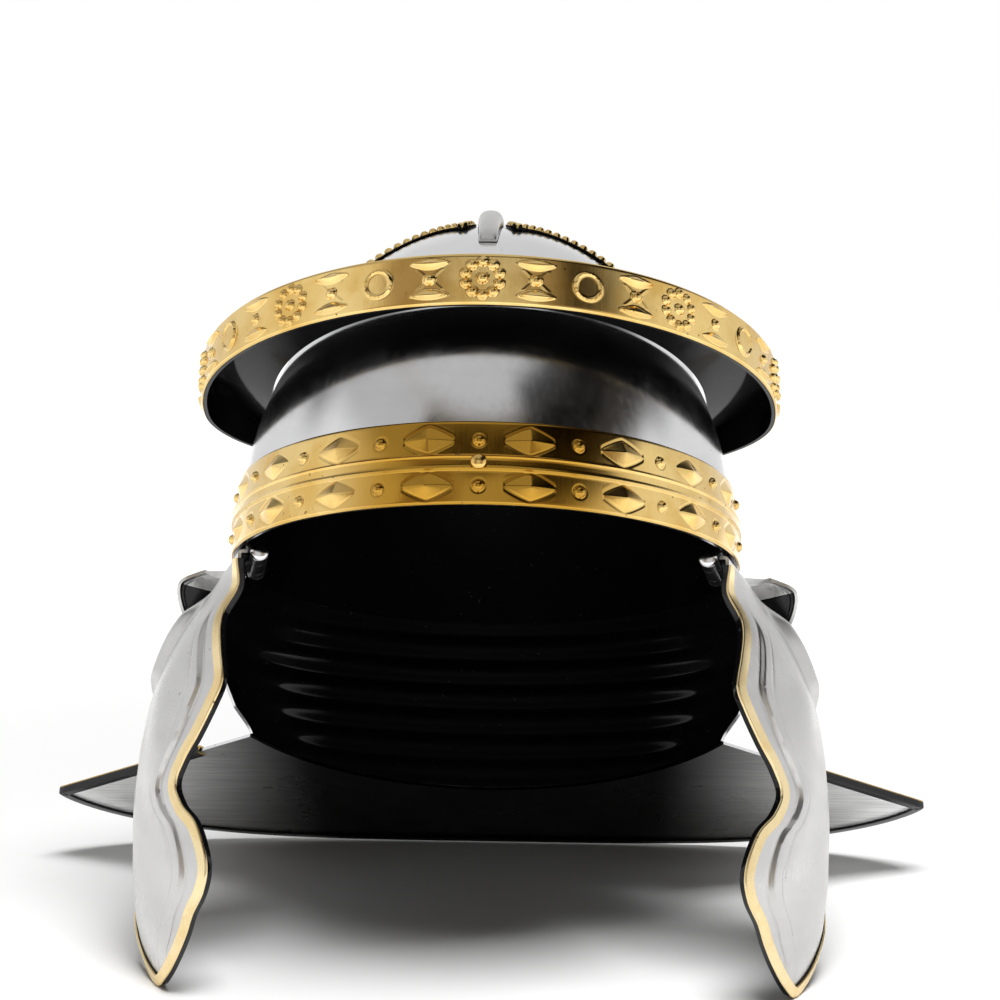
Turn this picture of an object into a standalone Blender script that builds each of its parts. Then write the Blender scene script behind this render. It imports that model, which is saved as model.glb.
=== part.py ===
"""A Roman imperial helmet that stands on its two cheek pieces and on its neck guard.

The helmet's own frame has x to the right, y to the back and z up from the plane of the rim.
The whole is then tilted back until the cheek tips and the neck guard touch the floor.
"""
import math
from collections import namedtuple

import bmesh
import bpy
from mathutils import Matrix, Vector

# Sheet, gaps and bindings
sheet = 0.0013
brass_sheet = 0.0008
gap = 0.0003
facet_sag = 0.0004
binding_gap = 0.0005
binding_width = 0.0032

# Bowl, nape and neck guard
bowl_half_width = 0.104
bowl_half_length = 0.118
bowl_height = 0.1455
nape_flare = 0.0158
nape_depth = 0.0620
ridge_pitch = 0.0115
ridge_rise = 0.0022
guard_half_width = 0.200
guard_tip_back = 0.130
guard_back = 0.188
guard_slope = 0.231

# Facets of the skull
front_columns = 20
rear_columns = 20
guard_rows = 3
nape_rows = 13

# Rim band and its relief
rim_height = 0.0322
rim_end = -0.002
rim_pitch = 0.0188
rim_figures = 9
lozenge_length = 0.0180
lozenge_height = 0.0094
lozenge_rise = 0.0019
stud_radius = 0.0021
stud_rise = 0.0017
row_low = 0.0068
row_high = 0.0242
bead_height = 0.0026
bead_rise = 0.0011
rivet_radius = 0.0030
rivet_rise = 0.0018

# Brow guard and its band
brow_half_width = 0.1200
brow_front = 0.1170
brow_rear = 0.075
brow_rear_reach = 0.053
brow_top = 0.0967
brow_droop = 0.0188
brow_droop_power = 0.95
brow_seat = 0.084
brow_depth_front = 0.0200
brow_depth_rear = 0.0170
brow_slit = 0.0009
brow_tab = 0.016
brow_tab_start = 0.0035
brow_tab_height = 0.011
brow_pitch = 0.0199
brow_band_end = 0.94
rosette_radius = 0.0062
rosette_bead = 0.0017
disc_radius = 0.0048
hourglass_length = 0.0125
hourglass_height = 0.0048
hourglass_spread = 0.0052
hourglass_rise = 0.0015
hourglass_bead = 0.0014

# Crest rib and crescents
rib_width = 0.0105
rib_rise = 0.0080
rib_front = -0.066
rib_back = 0.060
crescent_radius = 0.032
crescent_side = 0.038
crescent_back = -0.030
crescent_bite = 0.034

# Hinges and cheek pieces
hinge_inset = 0.0117
hinge_side = bowl_half_width - hinge_inset
hinge_back = -0.022
hinge_drop = 0.002
hinge_yaw = math.radians(9.5)
hinge_length = 0.036
knuckle_radius = 0.0036
pin_radius = 0.0015
knuckle_length = 0.009
knuckle_gap = 0.0004
pin_head_radius = 0.0037
pin_head_rise = 0.0028
pin_head_side = 0.0013
leaf_sheet = 0.0011
leaf_height = 0.015
leaf_foot = 0.011
leaf_set = 0.0004
leaf_rivet_radius = 0.0021
cheek_rivet_row = 3.3
cheek_trim_rows = (3, 9)
cheek_length = 0.1677
cheek_reach = 0.0444
cheek_width = 0.0837
cheek_curl = 0.023
cheek_curl_span = 0.050
cheek_curl_start = 0.020
cheek_rear_curl = 0.009
cheek_rear_span = 0.030
cheek_rib_rise = 0.0013
cheek_rib_inset = 0.0115
ear_flange_rise = 0.0065
ear_flange_width = 0.011

# Ear guards
ear_reach = 0.018
ear_lip = 0.0022
ear_clearance = 0.001
ear_turn = 0.34
ear_drop = 0.42

RearRow = namedtuple("RearRow", "share flare edge")
rear_rows = [
    RearRow(0.00, 0.00, 0.127),
    RearRow(0.15, 0.46, 0.150),
    RearRow(0.38, 0.99, 0.205),
    RearRow(0.54, 1.00, 0.275),
    RearRow(0.83, 0.94, 0.390),
    RearRow(1.00, 0.76, 0.465),
]

CheekRow = namedtuple("CheekRow", "down reach front rear curl")
cheek_rows = [
    CheekRow(0.000, 0.113, -0.275, 0.227, 0.00),
    CheekRow(0.004, 0.225, -0.278, 0.239, 0.10),
    CheekRow(0.030, 0.327, -0.275, 0.245, 0.35),
    CheekRow(0.089, 0.468, -0.263, 0.251, 0.78),
    CheekRow(0.146, 0.608, -0.265, 0.275, 0.87),
    CheekRow(0.189, 0.694, -0.296, 0.311, 0.90),
    CheekRow(0.247, 0.788, -0.349, 0.370, 0.95),
    CheekRow(0.319, 0.885, -0.403, 0.442, 1.00),
    CheekRow(0.376, 0.930, -0.391, 0.490, 1.00),
    CheekRow(0.447, 0.968, -0.345, 0.532, 1.00),
    CheekRow(0.501, 0.984, -0.291, 0.556, 1.00),
    CheekRow(0.556, 0.998, -0.260, 0.573, 1.00),
    CheekRow(0.608, 1.000, -0.302, 0.573, 1.00),
    CheekRow(0.656, 0.993, -0.376, 0.562, 1.00),
    CheekRow(0.739, 0.977, -0.420, 0.514, 1.00),
    CheekRow(0.800, 0.950, -0.397, 0.440, 1.00),
    CheekRow(0.850, 0.923, -0.338, 0.370, 1.00),
    CheekRow(0.895, 0.878, -0.287, 0.287, 0.98),
    CheekRow(0.937, 0.829, -0.220, 0.197, 0.94),
    CheekRow(0.972, 0.786, -0.137, 0.108, 0.90),
    CheekRow(0.995, 0.760, -0.054, 0.030, 0.86),
    CheekRow(1.000, 0.752, -0.012, -0.012, 0.84),
]

EarRow = namedtuple("EarRow", "out rise")
ear_rows = [
    EarRow(0.167, -0.333),
    EarRow(0.500, -0.222),
    EarRow(0.917, 0.028),
    EarRow(1.000, 0.250),
    EarRow(0.694, 0.194),
    EarRow(0.167, 0.000),
]

parts = bpy.data.collections.new("roman_imperial_helmet")
cutters = bpy.data.collections.new("cutters")


def material(name, color, metallic, roughness):
    made = bpy.data.materials.new(name)
    made.use_nodes = True
    shader = made.node_tree.nodes["Principled BSDF"]
    shader.inputs["Base Color"].default_value = (*color, 1.0)
    shader.inputs["Metallic"].default_value = metallic
    shader.inputs["Roughness"].default_value = roughness
    made.diffuse_color = (*color, 1.0)
    return made


def blend(start, end, share):
    return start + (end - start) * share


def smooth_step(share):
    share = min(1.0, max(0.0, share))
    return share * share * (3.0 - 2.0 * share)


def curve_value(rows, column, place):
    """A column of a table read at a fractional row number, along a smooth curve."""
    last = len(rows) - 1
    place = min(max(place, 0.0), float(last))
    row = min(int(place), last - 1)
    share = place - row
    values = [getattr(rows[min(max(row + step, 0), last)], column) for step in (-1, 0, 1, 2)]
    before, start, end, after = values
    return start + 0.5 * share * (
        end - before + share * (
            2 * before - 5 * start + 4 * end - after + share * (3 * (start - end) + after - before)))


def row_place(rows, column, value):
    """The fractional row number at which a growing column reaches a value."""
    for row in range(len(rows) - 1):
        low = getattr(rows[row], column)
        high = getattr(rows[row + 1], column)
        if value <= high:
            return row + (value - low) / (high - low)
    return float(len(rows) - 1)


def add_object(name, mesh, parent, group, finish=None):
    made = bpy.data.objects.new(name, mesh)
    group.objects.link(made)
    made.parent = parent
    if finish is not None:
        mesh.materials.append(finish)
    if group == cutters:
        made.hide_render = True
        made.display_type = "WIRE"
    return made


def mesh_from(bm, name):
    mesh = bpy.data.meshes.new(name)
    bm.to_mesh(mesh)
    bm.free()
    mesh.shade_smooth()
    mesh.set_sharp_from_angle(angle=math.radians(35))
    return mesh


def add_grid(bm, columns, rows, place):
    """A grid of faces whose corners a function of two shares puts in place."""
    made = bmesh.ops.create_grid(bm, x_segments=columns, y_segments=rows, size=0.5)
    for vertex in made["verts"]:
        vertex.co = place(vertex.co.x + 0.5, vertex.co.y + 0.5)


def sheet_object(name, grids, thickness, parent, finish, side=-1.0):
    """Sheet metal: one or more grids, welded and given their thickness."""
    bm = bmesh.new()
    for columns, rows, place in grids:
        add_grid(bm, columns, rows, place)
    bmesh.ops.remove_doubles(bm, verts=bm.verts, dist=1e-6)
    made = add_object(name, mesh_from(bm, name), parent, parts, finish)
    solid = made.modifiers.new("thickness", "SOLIDIFY")
    solid.thickness = thickness
    solid.offset = side
    solid.use_even_offset = True
    return made


def loft(bm, sections):
    """A closed solid through a row of sections that have the same number of corners."""
    rings = [[bm.verts.new(point) for point in section] for section in sections]
    count = len(rings[0])
    for first, second in zip(rings, rings[1:]):
        for corner in range(count):
            after = (corner + 1) % count
            bm.faces.new((first[corner], first[after], second[after], second[corner]))
    bm.faces.new(list(reversed(rings[0])))
    bm.faces.new(rings[-1])


def add_cone(bm, frame, sides, base, top, rise, sink=0.0):
    """A cone or a stub of one that stands on a frame, its foot sunk below it."""
    made = bmesh.ops.create_cone(
        bm, cap_ends=True, segments=sides, radius1=1.0, radius2=top, depth=1.0)
    lift = Matrix.Translation((0, 0, 0.5 * rise - 0.5 * sink))
    size = Matrix.Diagonal((base[0], base[1], rise + sink, 1.0))
    bmesh.ops.transform(bm, matrix=frame @ lift @ size, verts=made["verts"])


def bowl_normal(point):
    return Vector((
        point.x / bowl_half_width ** 2,
        point.y / bowl_half_length ** 2,
        point.z / bowl_height ** 2)).normalized()


def on_bowl(azimuth, height, lift=0.0):
    """A point of the bowl's outer face by azimuth from +x and height above the rim."""
    spread = math.sqrt(1.0 - (height / bowl_height) ** 2)
    point = Vector((
        bowl_half_width * spread * math.cos(azimuth),
        bowl_half_length * spread * math.sin(azimuth),
        height))
    return point + bowl_normal(point) * lift


def above_bowl(x, y, lift=0.0):
    """The point of the bowl's outer face that lies over a place in plan."""
    inside = 1.0 - (x / bowl_half_width) ** 2 - (y / bowl_half_length) ** 2
    point = Vector((x, y, bowl_height * math.sqrt(inside)))
    return point + bowl_normal(point) * lift


def rear_point(across, share, lift=0.0):
    """A point of the nape, from the rim at share 0 to the neck guard at share 1."""
    place = row_place(rear_rows, "share", share)
    flare = nape_flare * curve_value(rear_rows, "flare", place)
    edge = math.asin(curve_value(rear_rows, "edge", place))
    azimuth = blend(edge, math.pi - edge, across)
    foot = nape_foot(across)
    height = foot.z * share
    ridge = ridge_rise * 0.5 * (1.0 - math.cos(2 * math.pi * height / ridge_pitch))
    ridge *= smooth_step(5.0 * min(across, 1.0 - across) - 0.25) * smooth_step(8.0 * (1.0 - share))
    x = (bowl_half_width + flare + ridge + lift) * math.cos(azimuth)
    y = (bowl_half_length + ridge + lift) * math.sin(azimuth)
    return Vector((x, y, height))


def nape_foot(across):
    """The seam of the nape and the neck guard, which lies in the guard's sloping plane."""
    edge = math.asin(rear_rows[-1].edge)
    azimuth = blend(edge, math.pi - edge, across)
    flare = nape_flare * rear_rows[-1].flare
    y = bowl_half_length * math.sin(azimuth)
    corner = bowl_half_length * rear_rows[-1].edge
    x = (bowl_half_width + flare) * math.cos(azimuth)
    return Vector((x, y, -nape_depth - guard_slope * (y - corner)))


def guard_edge(across):
    """The outer edge of the neck guard, from its right tip to its left one."""
    side = math.sin(0.5 * math.pi * (1.0 - 2.0 * across))
    y = blend(guard_tip_back, guard_back, max(0.0, 1.0 - side ** 4) ** 0.75)
    corner = bowl_half_length * rear_rows[-1].edge
    return Vector((guard_half_width * side, y, -nape_depth - guard_slope * (y - corner)))


def skull_rear(across, share):
    """The nape and the neck guard in one run, from the guard's edge up to the rim."""
    row = round(share * (guard_rows + nape_rows))
    if row < guard_rows:
        return guard_edge(across).lerp(nape_foot(across), row / guard_rows)
    return rear_point(across, 1.0 - (row - guard_rows) / nape_rows)


def make_skull(parent, finish):
    dome_rows = (0.0, 0.07, 0.14, 0.25, 0.37, 0.50, 0.64, 0.80, 1.0)
    edge = math.asin(rear_rows[0].edge)
    turn = rear_columns / (front_columns + rear_columns)

    def dome(across, share):
        if across <= turn:
            azimuth = blend(edge, math.pi - edge, across / turn)
        else:
            azimuth = blend(math.pi - edge, 2 * math.pi + edge, (across - turn) / (1.0 - turn))
        rise = dome_rows[round(share * (len(dome_rows) - 1))]
        return on_bowl(azimuth, bowl_height * math.sin(0.5 * math.pi * rise))

    grids = [
        (front_columns + rear_columns, len(dome_rows) - 1, dome),
        (rear_columns, guard_rows + nape_rows, skull_rear),
    ]
    return sheet_object("skull", grids, sheet, parent, finish)


def bowl_frame(azimuth, height, lift):
    """A frame on the bowl with x along it, y up it and z out of it."""
    origin = on_bowl(azimuth, height, lift)
    along = Vector((
        -bowl_half_width * math.sin(azimuth), bowl_half_length * math.cos(azimuth), 0)).normalized()
    out = bowl_normal(on_bowl(azimuth, height))
    up = out.cross(along)
    frame = Matrix((along, up, out)).transposed().to_4x4()
    frame.translation = origin
    return frame


def walk(path, start, distance):
    """The share of a path at which a walk from a start share has gone a distance."""
    steps = 400
    length = 0.0
    share = start
    before = path(start)
    direction = 1.0 if distance >= 0 else -1.0
    while length < abs(distance):
        share += direction / steps
        after = path(share)
        length += (after - before).length
        before = after
    return share


def front_azimuth(side):
    """The azimuth of a place on the front, where side runs from -1 at left to 1 at right."""
    return 0.5 * math.pi * (side - 1.0)


def add_lozenge(bm, frame, length, height, rise):
    add_cone(bm, frame, 4, (0.5 * length, 0.5 * height), 0.0, rise, brass_sheet * 0.5)


def make_rim_band(parent, finish):
    lift = gap + brass_sheet
    reach = 1.0 + 2 / math.pi * math.asin(rim_end / bowl_half_length)
    middle = 0.5 * (row_low + row_high)

    def face(across, share):
        rows = (0.0, middle - bead_height, middle, middle + bead_height, rim_height)
        height = rows[round(share * (len(rows) - 1))]
        rise = bead_rise if height == middle else 0.0
        return on_bowl(front_azimuth(blend(-reach, reach, across)), height, lift + rise)

    band = sheet_object("rim_band", [(36, 4, face)], brass_sheet, parent, finish)
    bm = bmesh.new()
    for side in (-1, 1):
        for step in range(rim_figures):
            if side < 0 and step == 0:
                continue
            place = walk(lambda share: on_bowl(front_azimuth(share), middle), 0.0, side * step * rim_pitch)
            for height in (row_low, row_high):
                frame = bowl_frame(front_azimuth(place), height, lift)
                if step % 2:
                    add_lozenge(bm, frame, lozenge_length, lozenge_height, lozenge_rise)
                else:
                    add_cone(bm, frame, 6, (stud_radius, stud_radius), 0.0, stud_rise, brass_sheet * 0.5)
    emboss(band, bm)
    return band


def emboss(band, bm):
    """Joins raised figures to a band."""
    relief = add_object(band.name + "_relief", mesh_from(bm, band.name + "_relief"), band.parent, cutters)
    union = band.modifiers.new("relief", "BOOLEAN")
    union.operation = "UNION"
    union.solver = "EXACT"
    union.object = relief


def make_rivet(name, frame, radius, parent, finish):
    """A domed rivet head seated on a frame."""
    bm = bmesh.new()
    lifted = frame @ Matrix.Translation((0, 0, gap + 0.5 * facet_sag))
    add_cone(bm, lifted, 8, (radius, radius), 0.55, rivet_rise * radius / rivet_radius)
    return add_object(name, mesh_from(bm, name), parent, parts, finish)


def brow_outline(side):
    """The guard's outer edge in plan, side running from -1 at left to 1 at right."""
    turn = math.asin(brow_rear_reach / brow_rear)
    angle = side * (0.5 * math.pi + turn)
    length = brow_front if abs(angle) <= 0.5 * math.pi else brow_rear
    return Vector((brow_half_width * math.sin(angle), -length * math.cos(angle), 0.0))


def brow_share(y):
    """How far back a place on the guard lies, from 0 at its front to 1 at its rear ends."""
    return min(1.0, max(0.0, (y + brow_front) / (brow_front + brow_rear_reach)))


def brow_fall(y):
    return brow_droop * brow_share(y) ** brow_droop_power


def brow_face(side, down, lift=0.0):
    """A point on the lip's outer face, down running from 0 at its top to 1 at its foot."""
    point = brow_outline(side)
    step = 0.002
    along = (brow_outline(side + step) - brow_outline(side - step)).normalized()
    out = along.cross(Vector((0, 0, 1)))
    point += out * lift
    depth = blend(brow_depth_front, brow_depth_rear, brow_share(point.y))
    point.z = brow_top - brow_fall(point.y) - down * depth
    return point


def brow_seat_point(side):
    """The shelf's inner edge, which follows the bowl with a narrow slit at the sides."""
    outer = brow_outline(side)
    azimuth = math.atan2(outer.y / bowl_half_length, outer.x / bowl_half_width)
    slit = brow_slit * math.sin(math.pi * min(1.0, 1.2 * abs(side))) ** 2
    return on_bowl(azimuth, brow_seat - brow_fall(outer.y), gap + 0.7 * sheet + slit)


def brow_tab_place(side, share, height, lift):
    """A place on the tab that lies flat on the bowl behind the end of the guard."""
    outer = brow_outline(side)
    azimuth = math.atan2(outer.y / bowl_half_length, outer.x / bowl_half_width)
    azimuth += side * (brow_tab_start + share * brow_tab) / bowl_half_length
    return azimuth, height, lift


def make_brow_guard(parent, finish):
    """Shelf and lip in one strip; its ends lie flat on the bowl."""
    columns = 36
    tab_columns = 3

    def strip(across, share):
        column = round(across * (columns + 2 * tab_columns)) - tab_columns
        row = round(share * 3)
        if 0 <= column <= columns:
            side = blend(-1.0, 1.0, column / columns)
            points = (brow_face(side, 1.0), brow_face(side, 0.5), brow_face(side, 0.0), brow_seat_point(side))
            return points[row]
        beyond = -column if column < 0 else column - columns
        side = -1.0 if column < 0 else 1.0
        height = brow_seat - brow_droop - brow_tab_height * (1.0 - row / 3)
        return on_bowl(*brow_tab_place(side, (beyond - 1) / (tab_columns - 1), height, sheet + gap))

    guard = sheet_object("brow_guard", [(columns + 2 * tab_columns, 3, strip)], sheet, parent, finish)
    guard.modifiers["thickness"].use_even_offset = False
    return guard


def brow_frame(side, down):
    origin = brow_face(side, down, gap + brass_sheet)
    step = 0.002
    along = (brow_face(side + step, down) - brow_face(side - step, down)).normalized()
    out = along.cross(Vector((0, 0, 1))).normalized()
    frame = Matrix((along, out.cross(along), out)).transposed().to_4x4()
    frame.translation = origin
    return frame


def shifted(frame, right, up):
    return frame @ Matrix.Translation((right, up, 0))


def add_rosette(bm, frame):
    sink = brass_sheet * 0.5
    add_cone(bm, frame, 6, (rosette_bead * 1.15,) * 2, 0.0, stud_rise, sink)
    for bead in range(10):
        turn = 2 * math.pi * bead / 10
        place = shifted(frame, rosette_radius * math.cos(turn), rosette_radius * math.sin(turn))
        add_cone(bm, place, 5, (rosette_bead,) * 2, 0.0, bead_rise * 1.3, sink)


def add_hourglass(bm, frame):
    for side in (-1, 1):
        half = shifted(frame, 0, side * hourglass_spread)
        add_lozenge(bm, half, hourglass_length, hourglass_height, hourglass_rise)
    add_cone(bm, frame, 5, (hourglass_bead,) * 2, 0.0, bead_rise, brass_sheet * 0.5)


def add_disc(bm, frame):
    add_cone(bm, frame, 10, (disc_radius, disc_radius), 0.86, bead_rise, brass_sheet * 0.5)


def make_brow_band(parent, finish):
    lift = gap + brass_sheet

    def face(across, share):
        return brow_face(blend(-brow_band_end, brow_band_end, across), 1.0 - share, lift)

    band = sheet_object("brow_band", [(40, 1, face)], brass_sheet, parent, finish)
    bm = bmesh.new()
    figures = (add_rosette, add_hourglass, add_disc, add_hourglass)
    for side in (-1, 1):
        for step in range(11):
            if side < 0 and step == 0:
                continue
            place = walk(lambda share: brow_face(share, 0.5), 0.0, side * step * brow_pitch)
            figures[step % 4](bm, brow_frame(place, 0.5))
    emboss(band, bm)
    return band


def make_crest_rib(parent, finish):
    """A rounded rib front to back over the crown."""
    bm = bmesh.new()
    sections = []
    stations = 13
    for station in range(stations):
        share = station / (stations - 1)
        y = blend(rib_front, rib_back, share)
        swell = math.sin(math.pi * (0.06 + 0.88 * share)) ** 0.35
        section = []
        half = 0.5 * rib_width
        for side, rise in ((-1, 0), (-1, 0.55), (-0.6, 0.9), (0.6, 0.9), (1, 0.55), (1, 0)):
            lift = gap + 0.5 * facet_sag + rise * rib_rise * swell
            section.append(above_bowl(side * half * (0.6 + 0.4 * swell), y, lift))
        sections.append(section)
    loft(bm, sections)
    bmesh.ops.recalc_face_normals(bm, faces=bm.faces)
    return add_object("crest_rib", mesh_from(bm, "crest_rib"), parent, parts, finish)


def crescent_corner():
    """Half the angle that the plate's outer circle spans between its horns."""
    return math.acos(-0.5 * crescent_bite / crescent_radius)


def make_crescent(name, side, parent, finish):
    """A lunate plate on the front quarter of the crown, with a raised border."""
    horn = crescent_corner()
    bite_horn = math.pi - horn
    rows = (0.0, 0.12, 0.26, 0.74, 0.88, 1.0)

    def place(across, share):
        share = rows[round(share * (len(rows) - 1))]
        turn = blend(-horn, horn, across) * side
        bite_turn = blend(-bite_horn, bite_horn, across) * side
        outer = Vector((crescent_radius * math.sin(turn), crescent_radius * math.cos(turn)))
        inner = Vector((
            crescent_radius * math.sin(bite_turn),
            crescent_radius * math.cos(bite_turn) - crescent_bite))
        flat = inner.lerp(outer, share)
        raised = share in (0.12, 0.88) and 0.0 < across < 1.0
        lift = gap + brass_sheet + 0.5 * facet_sag + (bead_rise if raised else 0.0)
        return above_bowl(side * crescent_side + flat.x, crescent_back + flat.y, lift)

    plate = sheet_object(name, [(12, 5, place)], brass_sheet, parent, finish, side=-side)
    return plate


def ear_inner(share):
    """The ear guard's seat, from the rim at the top down the edge of the nape."""
    edge = math.asin(rear_rows[0].edge)
    if share < ear_turn:
        azimuth = blend(0.01, edge, share / ear_turn)
        return on_bowl(azimuth, 0.0, gap) + Vector((0, 0, ear_clearance))
    down = ear_drop * (share - ear_turn) / (1.0 - ear_turn)
    point = rear_point(0.0, down, gap)
    return point + Vector((0, 0, ear_clearance * (1.0 - down)))


def make_ear_guard(name, side, parent, finish):
    """An arched flange over the ear and down behind it, with a lip on its free edge."""
    def place(across, share):
        rows = (0.0, 0.5, 1.0, 1.0)
        row = round(share * 3)
        inner = ear_inner(across)
        spot = across * (len(ear_rows) - 1)
        out = ear_reach * curve_value(ear_rows, "out", spot)
        rise = ear_reach * curve_value(ear_rows, "rise", spot)
        point = inner + Vector((out * rows[row], -0.12 * out * rows[row], rise * rows[row]))
        if row == 3:
            point += Vector((0.3 * ear_lip, -ear_lip, 0.0))
        point.x *= side
        return point

    return sheet_object(name, [(12, 3, place)], sheet, parent, finish, side=-side)


def hinge_place(side):
    """The frame of a cheek hinge: x outward, y along the axis to the back."""
    yaw = Matrix.Rotation(-side * hinge_yaw, 4, "Z")
    return Matrix.Translation((side * hinge_side, hinge_back, -hinge_drop)) @ yaw


def cheek_edges(down):
    """The front and rear edges of the cheek piece along the hinge axis."""
    front = cheek_width * curve_value(cheek_rows, "front", down)
    rear = cheek_width * curve_value(cheek_rows, "rear", down)
    return front, rear


def cheek_face(down, y):
    """A point of the right-hand cheek piece's outer face in its hinge frame."""
    curl = cheek_curl * curve_value(cheek_rows, "curl", down)
    drop = curve_value(cheek_rows, "down", down)
    x = cheek_reach * curve_value(cheek_rows, "reach", down)
    if y < cheek_curl_start:
        x -= curl * ((cheek_curl_start - y) / cheek_curl_span) ** 2
    else:
        x -= cheek_rear_curl * ((y - cheek_curl_start) / cheek_rear_span) ** 2
    rear = cheek_edges(down)[1]
    flange = smooth_step((drop - 0.05) * 14) * smooth_step((0.36 - drop) * 9)
    x += ear_flange_rise * flange * smooth_step(1.0 - (rear - y) / ear_flange_width)
    return Vector((x, y, -cheek_length * drop))


def cheek_normal(down, y):
    step = 0.05
    low = max(down - step, 0.0)
    high = min(down + step, float(len(cheek_rows) - 1))
    along = cheek_face(high, y) - cheek_face(low, y)
    across = cheek_face(down, y + 0.001) - cheek_face(down, y - 0.001)
    return along.cross(across).normalized()


def mirrored(point, side):
    return Vector((side * point.x, point.y, point.z))


def make_cheek(name, side, parent, finish):
    """A cheek piece with a contour rib behind its scalloped front edge."""
    last = len(cheek_rows) - 1
    insets = (0.0, 0.55, 0.82, 1.0, 1.18)

    def place(across, share):
        down = share * last
        column = round(across * 9)
        front, rear = cheek_edges(down)
        inset = min(cheek_rib_inset, 0.3 * (rear - front))
        if column < len(insets):
            y = front + insets[column] * inset
        else:
            y = blend(front + insets[-1] * inset, rear, (column - 4) / 5)
        point = cheek_face(down, y)
        if column == 3:
            rib = smooth_step((share - 0.16) * 8) * smooth_step((0.93 - share) * 8)
            point += cheek_normal(down, y) * cheek_rib_rise * rib
        return mirrored(point, side)

    return sheet_object(name, [(9, last, place)], sheet, parent, finish, side=side)


def binding(bm, edge, width):
    """A folded brass strip round an edge, given as points with the sheet's outward normals."""
    half = 0.5 * sheet + binding_gap
    sections = []
    for index, (point, normal) in enumerate(edge):
        before = (point - edge[index - 1][0]).normalized() if index else None
        after = (edge[index + 1][0] - point).normalized() if index + 1 < len(edge) else None
        first = before or after
        second = after or before
        inward = (normal.cross(first) + normal.cross(second)).normalized()
        stretch = 1.0 / max(0.5, inward.dot(normal.cross(first).normalized()))
        middle = point - normal * 0.5 * sheet
        outline = (
            (width, half), (width, half + brass_sheet),
            (-binding_gap - brass_sheet, half + brass_sheet),
            (-binding_gap - brass_sheet, -half - brass_sheet),
            (width, -half - brass_sheet), (width, -half), (-binding_gap, -half), (-binding_gap, half))
        sections.append([middle + inward * stretch * depth + normal * rise for depth, rise in outline])
    loft(bm, sections)
    bmesh.ops.recalc_face_normals(bm, faces=bm.faces)


def make_cheek_trim(name, side, parent, finish):
    last = len(cheek_rows) - 1
    front_start, rear_start = cheek_trim_rows
    path = [(row, 0.0) for row in range(front_start, last)] + [(last, 0.5)]
    path += [(row, 1.0) for row in range(last - 1, rear_start - 1, -1)]
    edge = []
    for row, across in path:
        y = blend(*cheek_edges(float(row)), across)
        edge.append((mirrored(cheek_face(row, y), side), mirrored(cheek_normal(row, y), side)))
    if side < 0:
        edge.reverse()
    bm = bmesh.new()
    binding(bm, edge, binding_width)
    return add_object(name, mesh_from(bm, name), parent, parts, finish)


def make_neck_trim(parent, finish):
    up = Vector((0, math.sin(math.atan(guard_slope)), math.cos(math.atan(guard_slope))))
    leading = (0.75, 0.5, 0.25)
    columns = rear_columns
    edge = [(guard_edge(0.0).lerp(nape_foot(0.0), share), up) for share in leading]
    edge += [(guard_edge(column / columns), up) for column in range(columns + 1)]
    edge += [(guard_edge(1.0).lerp(nape_foot(1.0), share), up) for share in reversed(leading)]
    bm = bmesh.new()
    binding(bm, edge, binding_width)
    return add_object("neck_trim", mesh_from(bm, "neck_trim"), parent, parts, finish)


def knuckle(bm, start, end):
    """A tube of the hinge barrel along y."""
    sides = 10
    rings = []
    for radius, y in ((knuckle_radius, start), (knuckle_radius, end),
                      (pin_radius + gap, end), (pin_radius + gap, start)):
        ring = []
        for corner in range(sides):
            turn = 2 * math.pi * corner / sides
            ring.append(bm.verts.new((radius * math.cos(turn), y, radius * math.sin(turn))))
        rings.append(ring)
    for first, second in zip(rings, rings[1:] + rings[:1]):
        for corner in range(sides):
            after = (corner + 1) % sides
            bm.faces.new((first[corner], first[after], second[after], second[corner]))
    bmesh.ops.recalc_face_normals(bm, faces=bm.faces)


def knuckle_spans():
    """The barrel's stretches: bowl leaf, cheek leaf, bowl leaf."""
    half = 0.5 * hinge_length
    inner = half - knuckle_length
    return (-half, -inner), (-inner + knuckle_gap, inner - knuckle_gap), (inner, half)


def wall_place(y, height):
    """The bowl's inner face in the right-hand hinge frame, at a place along the axis."""
    to_hinge = hinge_place(1).inverted()
    low, high = -1.4, 0.4
    for _ in range(30):
        middle = 0.5 * (low + high)
        point = to_hinge @ on_bowl(middle, height, -sheet - gap - facet_sag)
        if point.y < y:
            low = middle
        else:
            high = middle
    return point


def bowl_leaf_path(y):
    """From the top of the leaf on the bowl's wall down to the barrel."""
    seat = 0.5 * (knuckle_radius + pin_radius + gap) - 0.4 * leaf_sheet
    return [
        wall_place(y, leaf_foot + leaf_height),
        wall_place(y, leaf_foot),
        Vector((1.3 * knuckle_radius, y, knuckle_radius)),
        Vector((0.8 * knuckle_radius, y, seat)),
        Vector((0.0, y, seat)),
    ]


def cheek_leaf_path(y):
    """From the barrel out along the inner face of the cheek piece."""
    seat = 0.5 * (knuckle_radius + pin_radius + gap) - 0.4 * leaf_sheet
    path = [Vector((0.0, y, -seat)), Vector((knuckle_radius, y, -seat - leaf_set))]
    for down in (2.0, 2.6, 3.2, 3.9):
        path.append(cheek_face(down, y) - cheek_normal(down, y) * (sheet + gap + facet_sag))
    return path


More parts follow.
